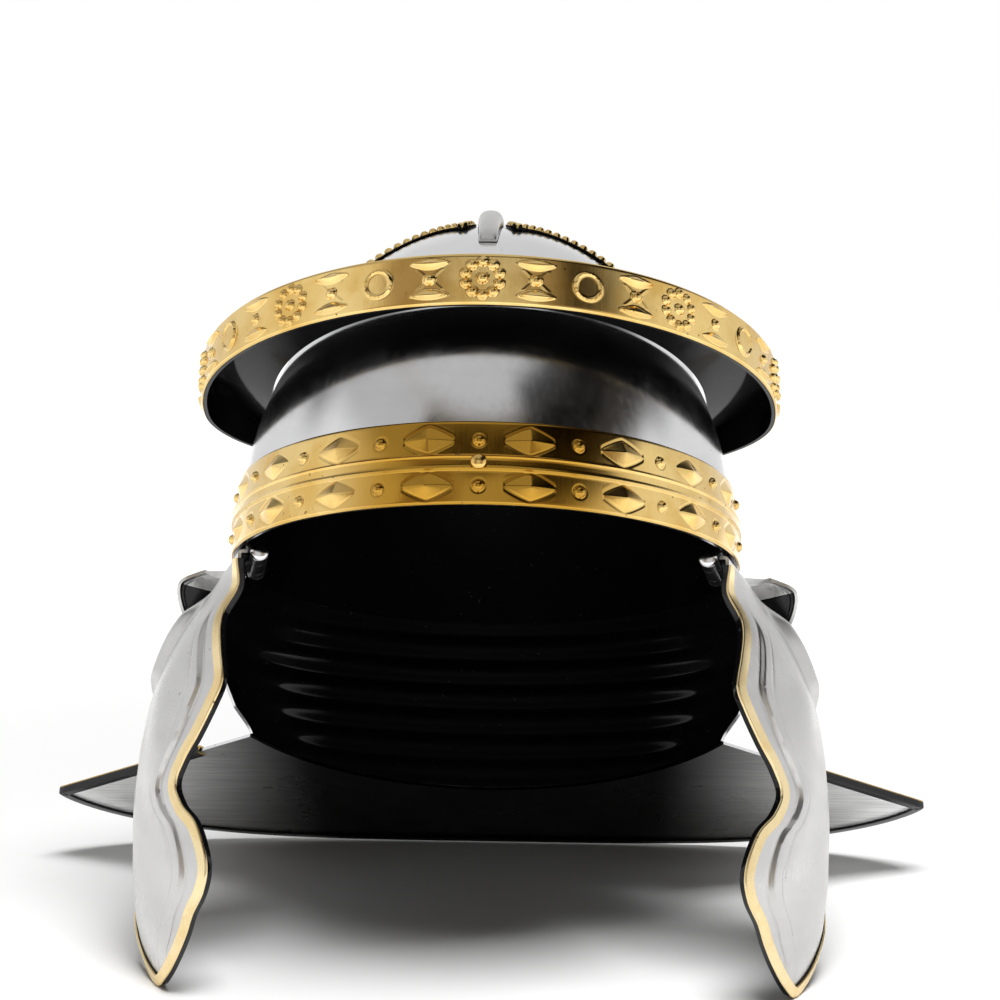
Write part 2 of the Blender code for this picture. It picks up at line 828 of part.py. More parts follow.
def make_leaf(name, side, spans, path, fingers_from, parent, finish):
    """A hinge leaf: a bent plate whose fingers end in its knuckles."""
    edges = sorted({y for span in spans for y in span})
    places = []
    for start, end in zip(edges, edges[1:]):
        places += [blend(start, end, step / 2) for step in range(2)]
    places.append(edges[-1])
    rows = len(path(0.0)) - 1
    grids = []

    def strip(columns, first_row, last_row):
        def place(across, share):
            y = columns[round(across * (len(columns) - 1))]
            row = first_row + round(share * (last_row - first_row))
            return mirrored(path(y)[row], side)
        return len(columns) - 1, last_row - first_row, place

    grids.append(strip(places, 0, fingers_from))
    for start, end in spans:
        grids.append(strip([y for y in places if start <= y <= end], fingers_from, rows))
    leaf = sheet_object(name, grids, leaf_sheet, parent, finish, side=side)
    bm = bmesh.new()
    for start, end in spans:
        knuckle(bm, start, end)
    barrel = add_object(name + "_knuckles", mesh_from(bm, name + "_knuckles"), parent, cutters)
    union = leaf.modifiers.new("knuckles", "BOOLEAN")
    union.operation = "UNION"
    union.solver = "EXACT"
    union.object = barrel
    return leaf


def make_pin(name, parent, finish):
    """The hinge pin with a domed head at each end."""
    sides = 10
    neck = 0.5 * hinge_length + gap
    dome = ((0.45, pin_head_rise), (1.0, pin_head_side), (1.0, 0.0))
    profile = [(pin_head_radius * share, -neck - depth) for share, depth in dome]
    profile += [(pin_radius, -neck), (pin_radius, neck)]
    profile += [(pin_head_radius * share, neck + depth) for share, depth in reversed(dome)]
    sections = []
    for radius, y in profile:
        turns = [2 * math.pi * corner / sides for corner in range(sides)]
        sections.append([Vector((radius * math.cos(turn), y, radius * math.sin(turn))) for turn in turns])
    bm = bmesh.new()
    loft(bm, sections)
    bmesh.ops.recalc_face_normals(bm, faces=bm.faces)
    return add_object(name, mesh_from(bm, name), parent, parts, finish)


def frame_on(point, out):
    """A frame at a point with z along a direction."""
    frame = out.to_track_quat("Z", "Y").to_matrix().to_4x4()
    frame.translation = point
    return frame


def make_hinge(label, side, root, axis, steel):
    """Both leaves, the pin and the rivet heads of one cheek hinge."""
    first, middle, last = knuckle_spans()
    axis_of_bowl = bpy.data.objects.new("bowl_hinge_" + label, None)
    parts.objects.link(axis_of_bowl)
    axis_of_bowl.parent = root
    axis_of_bowl.matrix_local = hinge_place(side)
    make_leaf("bowl_leaf_" + label, side, (first, last), bowl_leaf_path, 2, axis_of_bowl, steel)
    make_leaf("cheek_leaf_" + label, side, (middle,), cheek_leaf_path, 0, axis, steel)
    make_pin("hinge_pin_" + label, axis_of_bowl, steel)
    for number, y in enumerate((-0.3 * hinge_length, 0.3 * hinge_length)):
        wall = hinge_place(1) @ wall_place(y, leaf_foot + 0.5 * leaf_height)
        out = -bowl_normal(wall)
        frame = frame_on(mirrored(wall + out * leaf_sheet, side), mirrored(out, side))
        make_rivet(f"bowl_leaf_rivet_{label}_{number + 1}", frame, leaf_rivet_radius, root, steel)
    for number, y in enumerate((0.6 * middle[0], 0.6 * middle[1])):
        out = -cheek_normal(cheek_rivet_row, y)
        point = cheek_face(cheek_rivet_row, y) + out * (sheet + gap + facet_sag + leaf_sheet)
        frame = frame_on(mirrored(point, side), mirrored(out, side))
        make_rivet(f"cheek_leaf_rivet_{label}_{number + 1}", frame, leaf_rivet_radius, axis, steel)


def make_brow_rivet(label, side, root, steel):
    azimuth, height, lift = brow_tab_place(side, 0.55, brow_seat - brow_droop - 0.5 * brow_tab_height, sheet + gap)
    frame = bowl_frame(azimuth, height, lift)
    make_rivet("brow_rivet_" + label, frame, rivet_radius, root, steel)


def stand(root):
    """Tilts and places the helmet so that it stands on its cheek tips and neck guard."""
    bpy.context.view_layer.update()
    graph = bpy.context.evaluated_depsgraph_get()
    cheeks, rest = [], []
    for item in parts.objects:
        if item.type == "MESH":
            shape = item.evaluated_get(graph).to_mesh()
            group = cheeks if item.name.startswith("cheek_") else rest
            group.extend(item.matrix_world @ vertex.co for vertex in shape.vertices)

    def turned(points, tilt):
        return [Vector((
            point.x,
            point.y * math.cos(tilt) + point.z * math.sin(tilt),
            point.z * math.cos(tilt) - point.y * math.sin(tilt))) for point in points]

    low, high = 0.0, math.radians(45)
    for _ in range(24):
        tilt = 0.5 * (low + high)
        cheek_foot = min(point.z for point in turned(cheeks, tilt))
        guard_foot = min(point.z for point in turned(rest, tilt))
        if cheek_foot < guard_foot:
            low = tilt
        else:
            high = tilt
    placed = turned(cheeks + rest, tilt)
    back = [point.y for point in placed]
    root.rotation_euler.x = -tilt
    root.location = (0.0, -0.5 * (min(back) + max(back)), -min(point.z for point in placed))


def main():
    for item in list(bpy.data.objects):
        bpy.data.objects.remove(item, do_unlink=True)
    for group in (parts, cutters):
        bpy.context.scene.collection.children.link(group)
    steel = material("polished_steel", (0.62, 0.62, 0.61), 1.0, 0.22)
    brass = material("embossed_brass", (0.80, 0.58, 0.22), 1.0, 0.25)
    root = bpy.data.objects.new("helmet", None)
    parts.objects.link(root)
    make_skull(root, steel)
    make_rim_band(root, brass)
    make_brow_guard(root, steel)
    make_brow_band(root, brass)
    make_crest_rib(root, steel)
    make_neck_trim(root, brass)
    middle = 0.5 * (row_low + row_high)
    front = bowl_frame(front_azimuth(0.0), middle, gap + brass_sheet + bead_rise)
    make_rivet("rim_rivet", front, rivet_radius, root, brass)
    for label, side in (("left", -1), ("right", 1)):
        make_crescent("crescent_" + label, side, root, brass)
        make_ear_guard("ear_guard_" + label, side, root, steel)
        make_brow_rivet(label, side, root, steel)
        axis = bpy.data.objects.new("cheek_axis_" + label, None)
        parts.objects.link(axis)
        axis.parent = root
        axis.matrix_local = hinge_place(side)
        make_cheek("cheek_" + label, side, axis, steel)
        make_cheek_trim("cheek_trim_" + label, side, axis, brass)
        make_hinge(label, side, root, axis, steel)
    stand(root)


main()
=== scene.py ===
import math
import bpy
import numpy as np
from mathutils import Matrix, Vector


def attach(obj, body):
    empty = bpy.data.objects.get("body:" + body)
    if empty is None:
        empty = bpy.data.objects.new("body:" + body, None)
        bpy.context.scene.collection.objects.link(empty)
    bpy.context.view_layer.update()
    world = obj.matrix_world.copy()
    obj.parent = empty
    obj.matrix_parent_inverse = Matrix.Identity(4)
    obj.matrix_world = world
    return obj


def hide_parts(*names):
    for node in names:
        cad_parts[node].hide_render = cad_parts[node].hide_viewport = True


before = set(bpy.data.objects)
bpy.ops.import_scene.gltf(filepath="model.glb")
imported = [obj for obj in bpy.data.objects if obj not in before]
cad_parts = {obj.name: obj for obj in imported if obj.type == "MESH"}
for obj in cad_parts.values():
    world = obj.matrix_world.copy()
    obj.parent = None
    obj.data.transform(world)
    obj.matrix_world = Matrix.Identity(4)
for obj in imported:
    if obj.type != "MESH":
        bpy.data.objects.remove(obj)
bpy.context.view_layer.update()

helmetPlace = Matrix.Translation((0.0, -0.01806, 0.152629)) @ Matrix.Rotation(math.radians(-19.32315), 4, "X")
sheet = 0.0013
brassSheet = 0.0008
gap = 0.0003
facetSag = 0.0004

bowl = dict(halfWidth=0.104, halfLength=0.118, height=0.1455)
nape = dict(flare=0.0158, depth=0.0620, ridgePitch=0.0115, ridgeRise=0.0022, halfWidth=0.200, tipBack=0.130,
            back=0.188, slope=0.231)
rearShares = np.array([0.00, 0.15, 0.38, 0.54, 0.83, 1.00])
rearFlares = np.array([0.00, 0.46, 0.99, 1.00, 0.94, 0.76])
rearEdges = np.array([0.127, 0.150, 0.205, 0.275, 0.390, 0.465])


def blend(start, end, share):
    return start + (end - start) * share


def smooth(share):
    share = np.clip(share, 0.0, 1.0)
    return share * share * (3.0 - 2.0 * share)


def curveValue(values, place):  # a smooth curve through a column of values
    values = np.asarray(values, float)
    last = len(values) - 1
    place = np.clip(place, 0.0, float(last))
    row = np.minimum(place.astype(int), last - 1)
    share = place - row
    before = values[np.maximum(row - 1, 0)]
    start = values[row]
    end = values[row + 1]
    after = values[np.minimum(row + 2, last)]
    return start + 0.5 * share * (
        end - before + share * (
            2 * before - 5 * start + 4 * end - after + share * (3 * (start - end) + after - before)))


def unit(vectors):
    return vectors / np.maximum(np.linalg.norm(vectors, axis=-1, keepdims=True), 1e-12)


def placed(points, matrix):
    turn = np.array(matrix.to_3x3())
    return points @ turn.T + np.array(matrix.translation)


def gridOf(columns, rows):
    return np.meshgrid(np.linspace(0, 1, columns + 1), np.linspace(0, 1, rows + 1), indexing="ij")


def gridNormals(points, wrap=False):
    if wrap:
        ring = np.concatenate([points[-2:-1], points, points[1:2]])
        along = np.gradient(ring, axis=0)[1:-1]
    else:
        along = np.gradient(points, axis=0)
    return unit(np.cross(along, np.gradient(points, axis=1)))


class Mesher:  # gathers grids of points into one mesh
    def __init__(self):
        self.points = []
        self.faces = []
        self.slots = []
        self.maps = []
        self.count = 0

    def grid(self, points, slot=0, flat=None, flip=False):
        columns, rows = points.shape[:2]
        index = self.count + np.arange(columns * rows).reshape(columns, rows)
        quads = np.stack([index[:-1, :-1], index[1:, :-1], index[1:, 1:], index[:-1, 1:]], -1).reshape(-1, 4)
        self.faces.append(quads[:, ::-1] if flip else quads)
        self.slots.append(np.full(len(quads), slot))
        self.points.append(points.reshape(-1, 3))
        self.maps.append((np.zeros((columns, rows, 2)) if flat is None else flat).reshape(-1, 2))
        self.count += columns * rows

    def shell(self, outer, thickness, slots=(0, 0, 0), flat=None, flip=False, wrap=False, edges="abcd"):
        normal = gridNormals(outer, wrap) * (-1.0 if flip else 1.0)
        inner = outer - normal * thickness
        self.grid(outer, slots[0], flat, flip)
        self.grid(inner, slots[1], flat, not flip)
        sides = {"a": (outer[:, 0], inner[:, 0], False), "b": (outer[:, -1], inner[:, -1], True),
                 "c": (outer[0], inner[0], True), "d": (outer[-1], inner[-1], False)}
        for name in edges:
            first, second, turned = sides[name]
            strip = np.stack([first, blend(first, second, 0.2), blend(first, second, 0.8), second], 1)
            self.grid(strip, slots[2], None, turned != flip)

    def backing(self, outer, inner, columnStep, rowStep):  # a coarse back and the four edges behind a fine front
        self.grid(inner[::columnStep, ::rowStep], 0, None, True)
        for row, flip in ((0, False), (-1, True)):
            self.grid(np.stack([outer[:, row], inner[:, row]], 1), 0, None, flip)
        for column, flip in ((0, True), (-1, False)):
            self.grid(np.stack([outer[column], inner[column]], 1), 0, None, flip)

    def build(self, name, body, materials, place=helmetPlace, sharp=38.0):
        mesh = bpy.data.meshes.new(name)
        points = placed(np.concatenate(self.points), place)
        faces = np.concatenate(self.faces)
        mesh.vertices.add(len(points))
        mesh.vertices.foreach_set("co", points.ravel())
        mesh.loops.add(faces.size)
        mesh.loops.foreach_set("vertex_index", faces.ravel().astype(np.int32))
        mesh.polygons.add(len(faces))
        mesh.polygons.foreach_set("loop_start", np.arange(0, faces.size, 4, dtype=np.int32))
        mesh.polygons.foreach_set("material_index", np.concatenate(self.slots).astype(np.int32))
        layer = mesh.uv_layers.new(name="flat")
        layer.data.foreach_set("uv", np.concatenate(self.maps)[faces.ravel()].ravel())
        mesh.update(calc_edges=True)
        mesh.validate()
        mesh.shade_smooth()
        mesh.set_sharp_from_angle(angle=math.radians(sharp))
        for item in materials:
            mesh.materials.append(item)
        made = bpy.data.objects.new(name, mesh)
        bpy.context.scene.collection.objects.link(made)
        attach(made, body)
        return made


def stands(piece, slot, *nodes):
    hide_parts(*nodes)


class Wire:  # a socket that does shader maths
    def __init__(self, tree, socket):
        self.tree = tree
        self.socket = socket

    def add(self, kind, settings=(), inputs=(), output=0):
        node = self.tree.nodes.new(kind)
        for name, value in dict(settings).items():
            setattr(node, name, value)
        for name, value in dict(inputs).items():
            if isinstance(value, Wire):
                self.tree.links.new(value.socket, node.inputs[name])
            else:
                node.inputs[name].default_value = value
        return Wire(self.tree, node.outputs[output])

    def maths(self, operation, first, second=0.0, third=0.0):
        return self.add("ShaderNodeMath", dict(operation=operation), {0: first, 1: second, 2: third})

    def __add__(self, other):
        return self.maths("ADD", self, other)

    def __radd__(self, other):
        return self.maths("ADD", other, self)

    def __sub__(self, other):
        return self.maths("SUBTRACT", self, other)

    def __rsub__(self, other):
        return self.maths("SUBTRACT", other, self)

    def __mul__(self, other):
        return self.maths("MULTIPLY", self, other)

    def __rmul__(self, other):
        return self.maths("MULTIPLY", other, self)

    def __pow__(self, other):
        return self.maths("POWER", self, other)

    def ramp(self, low, high, start=0.0, end=1.0):
        return self.add("ShaderNodeMapRange", dict(interpolation_type="SMOOTHSTEP"), {
            "Value": self, "From Min": low, "From Max": high, "To Min": start, "To Max": end})

    def stretch(self, scale):
        return self.add("ShaderNodeMapping", (), {"Vector": self, "Scale": scale})

    def noise(self, scale, detail=3.0, roughness=0.5):
        return self.add("ShaderNodeTexNoise", (), {
            "Vector": self, "Scale": scale, "Detail": detail, "Roughness": roughness})

    def mix(self, first, second):
        node = self.tree.nodes.new("ShaderNodeMix")
        node.data_type = "RGBA"
        self.tree.links.new(self.socket, node.inputs["Factor"])
        for name, value in (("A", first), ("B", second)):
            socket = next(item for item in node.inputs if item.name == name and item.type == "RGBA")
            if isinstance(value, Wire):
                self.tree.links.new(value.socket, socket)
            else:
                socket.default_value = (*value, 1.0)
        return Wire(self.tree, next(item for item in node.outputs if item.type == "RGBA"))


def newMaterial(name, fixed):
    made = bpy.data.materials.new(name)
    made.use_nodes = True
    shader = made.node_tree.nodes["Principled BSDF"]
    for key, value in fixed.items():
        shader.inputs[key].default_value = value
    start = Wire(made.node_tree, None)
    return made, shader, start.add("ShaderNodeTexCoord", output="Object")


def connect(shader, **wires):
    names = dict(color="Base Color", roughness="Roughness", normal="Normal", coat="Coat Weight")
    for key, wire in wires.items():
        wire.tree.links.new(wire.socket, shader.inputs[names[key]])


def bump(height, strength, distance):
    return height.add("ShaderNodeBump", (), {"Height": height, "Strength": strength, "Distance": distance})


def sidewaysFrom(place):  # the distance from the middle plane
    across = place.add("ShaderNodeSeparateXYZ", (), {0: place})
    return across.maths("ABSOLUTE", across)


def polishedSteel(name, tone, rough):
    look = dict(cloud=28.0, grain=(420.0, 420.0, 38.0), speck=260.0, speckShare=(0.75, 0.81), smear=(9.0, 9.0, 30.0),
                smearTone=0.86, speckTone=(0.20, 0.19, 0.18), grainRough=0.06, bump=0.12, depth=0.0004)
    made, shader, place = newMaterial(name, {"Metallic": 1.0, "Roughness": rough})
    clouds = place.noise(look["cloud"], 4.0, 0.6)
    grain = place.stretch(look["grain"]).noise(1.0, 4.0, 0.6)
    specks = place.noise(look["speck"], 2.0).ramp(*look["speckShare"])
    smear = place.stretch(look["smear"]).noise(1.0, 5.0, 0.62)
    smeared = smear.ramp(0.3, 0.75).mix(tone, [look["smearTone"] * value for value in tone])
    connect(shader, color=specks.mix(smeared, look["speckTone"]),
            roughness=clouds.ramp(0.3, 0.72, rough * 0.8, rough * 1.3) + grain.ramp(0.35, 0.8, 0.0, look["grainRough"]),
            normal=bump(grain * 0.3 + clouds * 0.7, look["bump"], look["depth"]))
    return made


def polishedBrass(name, light, dark, rough, darkReflection=None):  # a painted dark reflection deepens the tone towards the middle
    look = dict(cloud=45.0, brush=(2600.0, 60.0, 1.0), spot=330.0, spotShare=(0.71, 0.77), spotTone=(0.22, 0.13, 0.05),
                reflectionEnd=(0.034, 0.062), reflectionWander=0.02, brushRough=0.07, bump=0.10, depth=0.0003)
    made, shader, place = newMaterial(name, {"Metallic": 1.0, "Roughness": rough})
    flat = place.add("ShaderNodeTexCoord", output="UV")
    clouds = place.noise(look["cloud"], 4.0, 0.6)
    brush = flat.stretch(look["brush"]).noise(1.0, 3.0, 0.6)
    spots = place.noise(look["spot"], 2.0).ramp(*look["spotShare"])
    tone = clouds.ramp(0.35, 0.72).mix(light, dark)
    # painted reflection: the darker tone towards the middle stands for the dark room mirrored there
    if darkReflection:
        sideways = sidewaysFrom(place) + look["reflectionWander"] * (clouds - 0.5)
        tone = sideways.ramp(*look["reflectionEnd"]).mix(darkReflection, tone)
    connect(shader, color=spots.mix(tone, look["spotTone"]),
            roughness=clouds.ramp(0.3, 0.7, rough * 0.8, rough * 1.35) + brush.ramp(0.4, 0.8, 0.0, look["brushRough"]),
            normal=bump(brush * 0.5 + clouds * 0.5, look["bump"], look["depth"]))
    return made


def blackEnamel(name, tone, rough, shine, coat, floorSheen=0.0):  # thicker in coat, and greyer as a painted reflection of the bright floor, towards the sides
    look = dict(peel=190.0, dust=520.0, dustShare=(0.70, 0.78), dustTone=(0.03, 0.03, 0.03), cloud=22.0, cloudTone=1.5,
                brush=(30.0, 900.0, 30.0), sheenTone=(1.0, 1.0, 1.0), bump=0.14, depth=0.0005)
    made, shader, place = newMaterial(name, {"Specular IOR Level": shine, "Coat Roughness": 0.10})
    inner, outer, weight = coat
    peel = place.noise(look["peel"], 2.0)
    dust = place.noise(look["dust"], 2.0).ramp(*look["dustShare"])
    cloud = place.noise(look["cloud"], 4.0, 0.6)
    sideways = sidewaysFrom(place).ramp(inner, outer)
    plain = dust.mix(cloud.ramp(0.35, 0.7).mix(tone, [look["cloudTone"] * value for value in tone]), look["dustTone"])
    brushed = place.stretch(look["brush"]).noise(1.0, 4.0, 0.6).ramp(0.3, 0.7, 0.7, 1.0)
    # painted reflection: the grey towards the sides stands for the bright floor mirrored there
    connect(shader, color=(sideways * brushed * floorSheen).mix(plain, look["sheenTone"]),
            roughness=cloud.ramp(0.3, 0.7, rough * 0.8, rough * 1.5), coat=sideways * weight,
            normal=bump(peel * 0.3 + cloud * 0.7, look["bump"], look["depth"]))
    return made


steel = polishedSteel("polishedSteel", (0.78, 0.78, 0.79), 0.15)
cheekSteel = polishedSteel("cheekSteel", (0.63, 0.625, 0.615), 0.28)
brass = polishedBrass("embossedBrass", (0.85, 0.62, 0.25), (0.72, 0.46, 0.13), 0.13)
# the rim band's brass, with a painted dark reflection towards its middle
rimBrass = polishedBrass("paintedReflectionBrass", (0.85, 0.62, 0.25), (0.72, 0.46, 0.13), 0.13, (0.46, 0.25, 0.035))
trimBrass = polishedBrass("paleBrass", (0.90, 0.74, 0.44), (0.80, 0.60, 0.29), 0.24)
enamel = blackEnamel("blackEnamel", (0.002, 0.002, 0.0024), 0.40, 0.03, (0.070, 0.095, 0.60))
# the neck guard's underside, greyed towards its tips by the painted floor reflection
gloss = blackEnamel("glossEnamel", (0.003, 0.003, 0.0034), 0.30, 0.08, (0.075, 0.185, 1.0), 1.0)
# the hinge leaves, knuckles and leaf rivets are made near-black, so that only the pin heads show bright
hingeBlack = blackEnamel("darkHinge", (0.006, 0.006, 0.006), 0.30, 0.40, (0.0, 0.01, 0.3))
print("materials made")


def bowlNormal(points):
    return unit(points / np.array([bowl["halfWidth"] ** 2, bowl["halfLength"] ** 2, bowl["height"] ** 2]))


def onBowl(azimuth, height, lift=0.0):
    spread = np.sqrt(np.maximum(1.0 - (height / bowl["height"]) ** 2, 0.0))
    points = np.stack(np.broadcast_arrays(
        bowl["halfWidth"] * spread * np.cos(azimuth), bowl["halfLength"] * spread * np.sin(azimuth), height), -1)
    return points + bowlNormal(points) * np.asarray(lift)[..., None]


def aboveBowl(x, y, lift):
    inside = 1.0 - (x / bowl["halfWidth"]) ** 2 - (y / bowl["halfLength"]) ** 2
    points = np.stack(np.broadcast_arrays(x, y, bowl["height"] * np.sqrt(np.maximum(inside, 0.0))), -1)
    return points + bowlNormal(points) * np.asarray(lift)[..., None]


def cornerBack():
    return bowl["halfLength"] * rearEdges[-1]


def napeFoot(across):
    edge = math.asin(rearEdges[-1])
    azimuth = blend(edge, math.pi - edge, across)
    y = bowl["halfLength"] * np.sin(azimuth)
    x = (bowl["halfWidth"] + nape["flare"] * rearFlares[-1]) * np.cos(azimuth)
    return np.stack([x, y, -nape["depth"] - nape["slope"] * (y - cornerBack())], -1)


def guardEdge(across):
    side = np.sin(0.5 * math.pi * (1.0 - 2.0 * across))
    y = blend(nape["tipBack"], nape["back"], np.maximum(0.0, 1.0 - side ** 4) ** 0.75)
    return np.stack([nape["halfWidth"] * side, y, -nape["depth"] - nape["slope"] * (y - cornerBack())], -1)


def rearPoint(across, share, lift=0.0):
    place = np.interp(share, rearShares, np.arange(len(rearShares)))
    flare = nape["flare"] * curveValue(rearFlares, place)
    edge = np.arcsin(curveValue(rearEdges, place))
    azimuth = blend(edge, math.pi - edge, across)
    height = napeFoot(across)[..., 2] * share
    wave = 0.5 * (1.0 - np.cos(2 * math.pi * height / nape["ridgePitch"]))
    inset = np.minimum(across, 1.0 - across)
    ridge = nape["ridgeRise"] * wave * smooth(5.0 * inset - 0.25) * smooth(8.0 * (1.0 - share))
    return np.stack([
        (bowl["halfWidth"] + flare + ridge + lift) * np.cos(azimuth),
        (bowl["halfLength"] + ridge + lift) * np.sin(azimuth), height], -1)


def makeSkull():
    skull = dict(columns=240, domeRows=84, napeColumns=170, napeRows=150, guardRows=16)
    mesher = Mesher()
    across, share = gridOf(skull["columns"], skull["domeRows"])
    dome = onBowl(2 * math.pi * across, bowl["height"] * np.sin(0.5 * math.pi * share * 0.9995))
    mesher.shell(dome, sheet, (0, 1, 0), wrap=True, edges="a")
    across, share = gridOf(skull["napeColumns"], skull["napeRows"])
    mesher.shell(rearPoint(across, 1.0 - share), sheet, (0, 1, 0), edges="cd")
    across, share = gridOf(skull["napeColumns"], skull["guardRows"])
    guard = blend(guardEdge(across), napeFoot(across), share[..., None])
    mesher.shell(guard, sheet, (0, 2, 0), edges="acd")
    made = mesher.build("skullShell", "helmet", [steel, enamel, gloss])
    stands(made, "polished_steel", "skull")


makeSkull()
print("skull made")


def ridgeHeight(offset, halfWidth, rise):
    return rise * np.exp(-(offset / halfWidth) ** 2)


def lozengeHeight(along, up, halfLength, halfHeight, rise):  # a four-sided point with a soft foot and a shallow moat
    bulge, soft, end = 1.18, 0.014, 1.6
    reach = ((np.abs(along) / halfLength) ** bulge + (np.abs(up) / halfHeight) ** bulge) ** (1 / bulge)
    inside = 1.0 - reach
    point = 0.5 * (inside + np.sqrt(inside * inside + soft)) * (reach < end)
    return rise * (point - ridgeHeight(reach - 1.14, 0.12, 0.14))


def beadHeight(along, up, radius, rise):  # a half ball in a shallow moat
    reach = np.hypot(along, up) / radius
    return rise * (np.sqrt(np.clip(1.0 - reach ** 2, 0.0, 1.0)) - ridgeHeight(reach - 1.2, 0.14, 0.09))


def edgeFall(edge):  # the sheet rolls down at its edge
    depth, width = 0.0007, 0.0012
    return depth * np.clip(1.0 - edge / width, 0.0, 1.0) ** 2


def dents(along, up):  # the uneven surface of hand-pressed sheet
    return 0.00006 * (
        np.sin(151 * along + 1.3) * np.cos(97 * up + 0.4) + np.sin(67 * along + 140 * up)
        + 0.7 * np.sin(263 * along + 2.1) * np.sin(181 * up + 0.9))


def frontAzimuth(side):
    return 0.5 * math.pi * (side - 1.0)


def arcLengths(points):
    steps = np.linalg.norm(np.diff(points, axis=0), axis=1)
    return np.concatenate([[0.0], np.cumsum(steps)])


def makeRimBand():
    rim = dict(height=0.0322, end=-0.002, pitch=0.0188, figures=9, rowLow=0.0068, rowHigh=0.0242,
               lozengeLength=0.0180, lozengeHeight=0.0094, lozengeRise=0.0019, studRadius=0.0021, studRise=0.0017,
               beadHeight=0.0026, beadRise=0.0011, beadSlope=0.0008, lineWidth=0.00055, columns=880, rows=80)
    reach = 1.0 + 2 / math.pi * math.asin(rim["end"] / bowl["halfLength"])
    middle = 0.5 * (rim["rowLow"] + rim["rowHigh"])
    sides = np.linspace(-reach, reach, rim["columns"] + 1)
    walk = arcLengths(onBowl(frontAzimuth(sides), middle + 0.0 * sides))
    along = walk - 0.5 * walk[-1]
    heights = np.linspace(0.0, rim["height"], rim["rows"] + 1)
    along, height = np.meshgrid(along, heights, indexing="ij")
    side = np.broadcast_to(sides[:, None], along.shape)
    step = np.round(along / rim["pitch"])
    offset = along - step * rim["pitch"]
    relief = dents(along, height)
    for row in (rim["rowLow"], rim["rowHigh"]):
        lozenge = lozengeHeight(offset, height - row, 0.5 * rim["lozengeLength"], 0.5 * rim["lozengeHeight"],
                                rim["lozengeRise"])
        stud = beadHeight(offset, height - row, rim["studRadius"], rim["studRise"])
        inside = np.abs(step) < rim["figures"]
        relief += np.where(inside, np.where(step % 2 == 1, lozenge, stud), 0.0)
    off = height - middle
    relief += 0.5 * rim["beadRise"] * smooth((rim["beadHeight"] - np.abs(off)) / rim["beadSlope"] + 0.5)
    for sign in (-1, 1):
        relief += ridgeHeight(off - sign * rim["beadHeight"] * 0.85, rim["lineWidth"], 0.45 * rim["beadRise"])
    relief -= edgeFall(np.minimum(height, rim["height"] - height))
    outer = onBowl(frontAzimuth(side), height, gap + brassSheet + relief)
    mesher = Mesher()
    mesher.grid(outer, 0, np.stack([along, height], -1))
    mesher.backing(outer, onBowl(frontAzimuth(side), height, gap), 8, 20)
    made = mesher.build("rimBandRelief", "helmet", [rimBrass], sharp=60)
    stands(made, "embossed_brass", "rim_band")


makeRimBand()
print("rim band made")

brow = dict(halfWidth=0.1200, front=0.1170, rear=0.075, rearReach=0.053, top=0.0967, droop=0.0188, droopPower=0.95,
            seat=0.084, depthFront=0.0200, depthRear=0.0170, slit=0.0002, tab=0.016, tabStart=0.0035, tabHeight=0.011,
            pitch=0.0199, bandEnd=0.94)


def browOutline(side):
    turn = math.asin(brow["rearReach"] / brow["rear"])
    angle = side * (0.5 * math.pi + turn)
    length = np.where(np.abs(angle) <= 0.5 * math.pi, brow["front"], brow["rear"])
    return np.stack([brow["halfWidth"] * np.sin(angle), -length * np.cos(angle), 0.0 * side], -1)


def browShare(y):
    return np.clip((y + brow["front"]) / (brow["front"] + brow["rearReach"]), 0.0, 1.0)


def browFall(y):
    return brow["droop"] * browShare(y) ** brow["droopPower"]


def browOut(side):
    along = unit(browOutline(side + 0.002) - browOutline(side - 0.002))
    return np.stack([along[..., 1], -along[..., 0], 0.0 * along[..., 0]], -1)


def browFace(side, down, lift=0.0):
    outer = browOutline(side)
    out = browOut(side)
    depth = blend(brow["depthFront"], brow["depthRear"], browShare(outer[..., 1]))
    outer[..., 2] = brow["top"] - browFall(outer[..., 1]) - down * depth
    return outer + out * np.asarray(lift)[..., None]


def browAzimuth(side):
    outer = browOutline(side)
    return np.arctan2(outer[..., 1] / bowl["halfLength"], outer[..., 0] / bowl["halfWidth"])


def browSeat(side, lift):
    outer = browOutline(side)
    slit = brow["slit"] * np.sin(math.pi * np.minimum(1.0, 1.2 * np.abs(side))) ** 2
    return onBowl(browAzimuth(side), brow["seat"] - browFall(outer[..., 1]), gap + lift + slit)


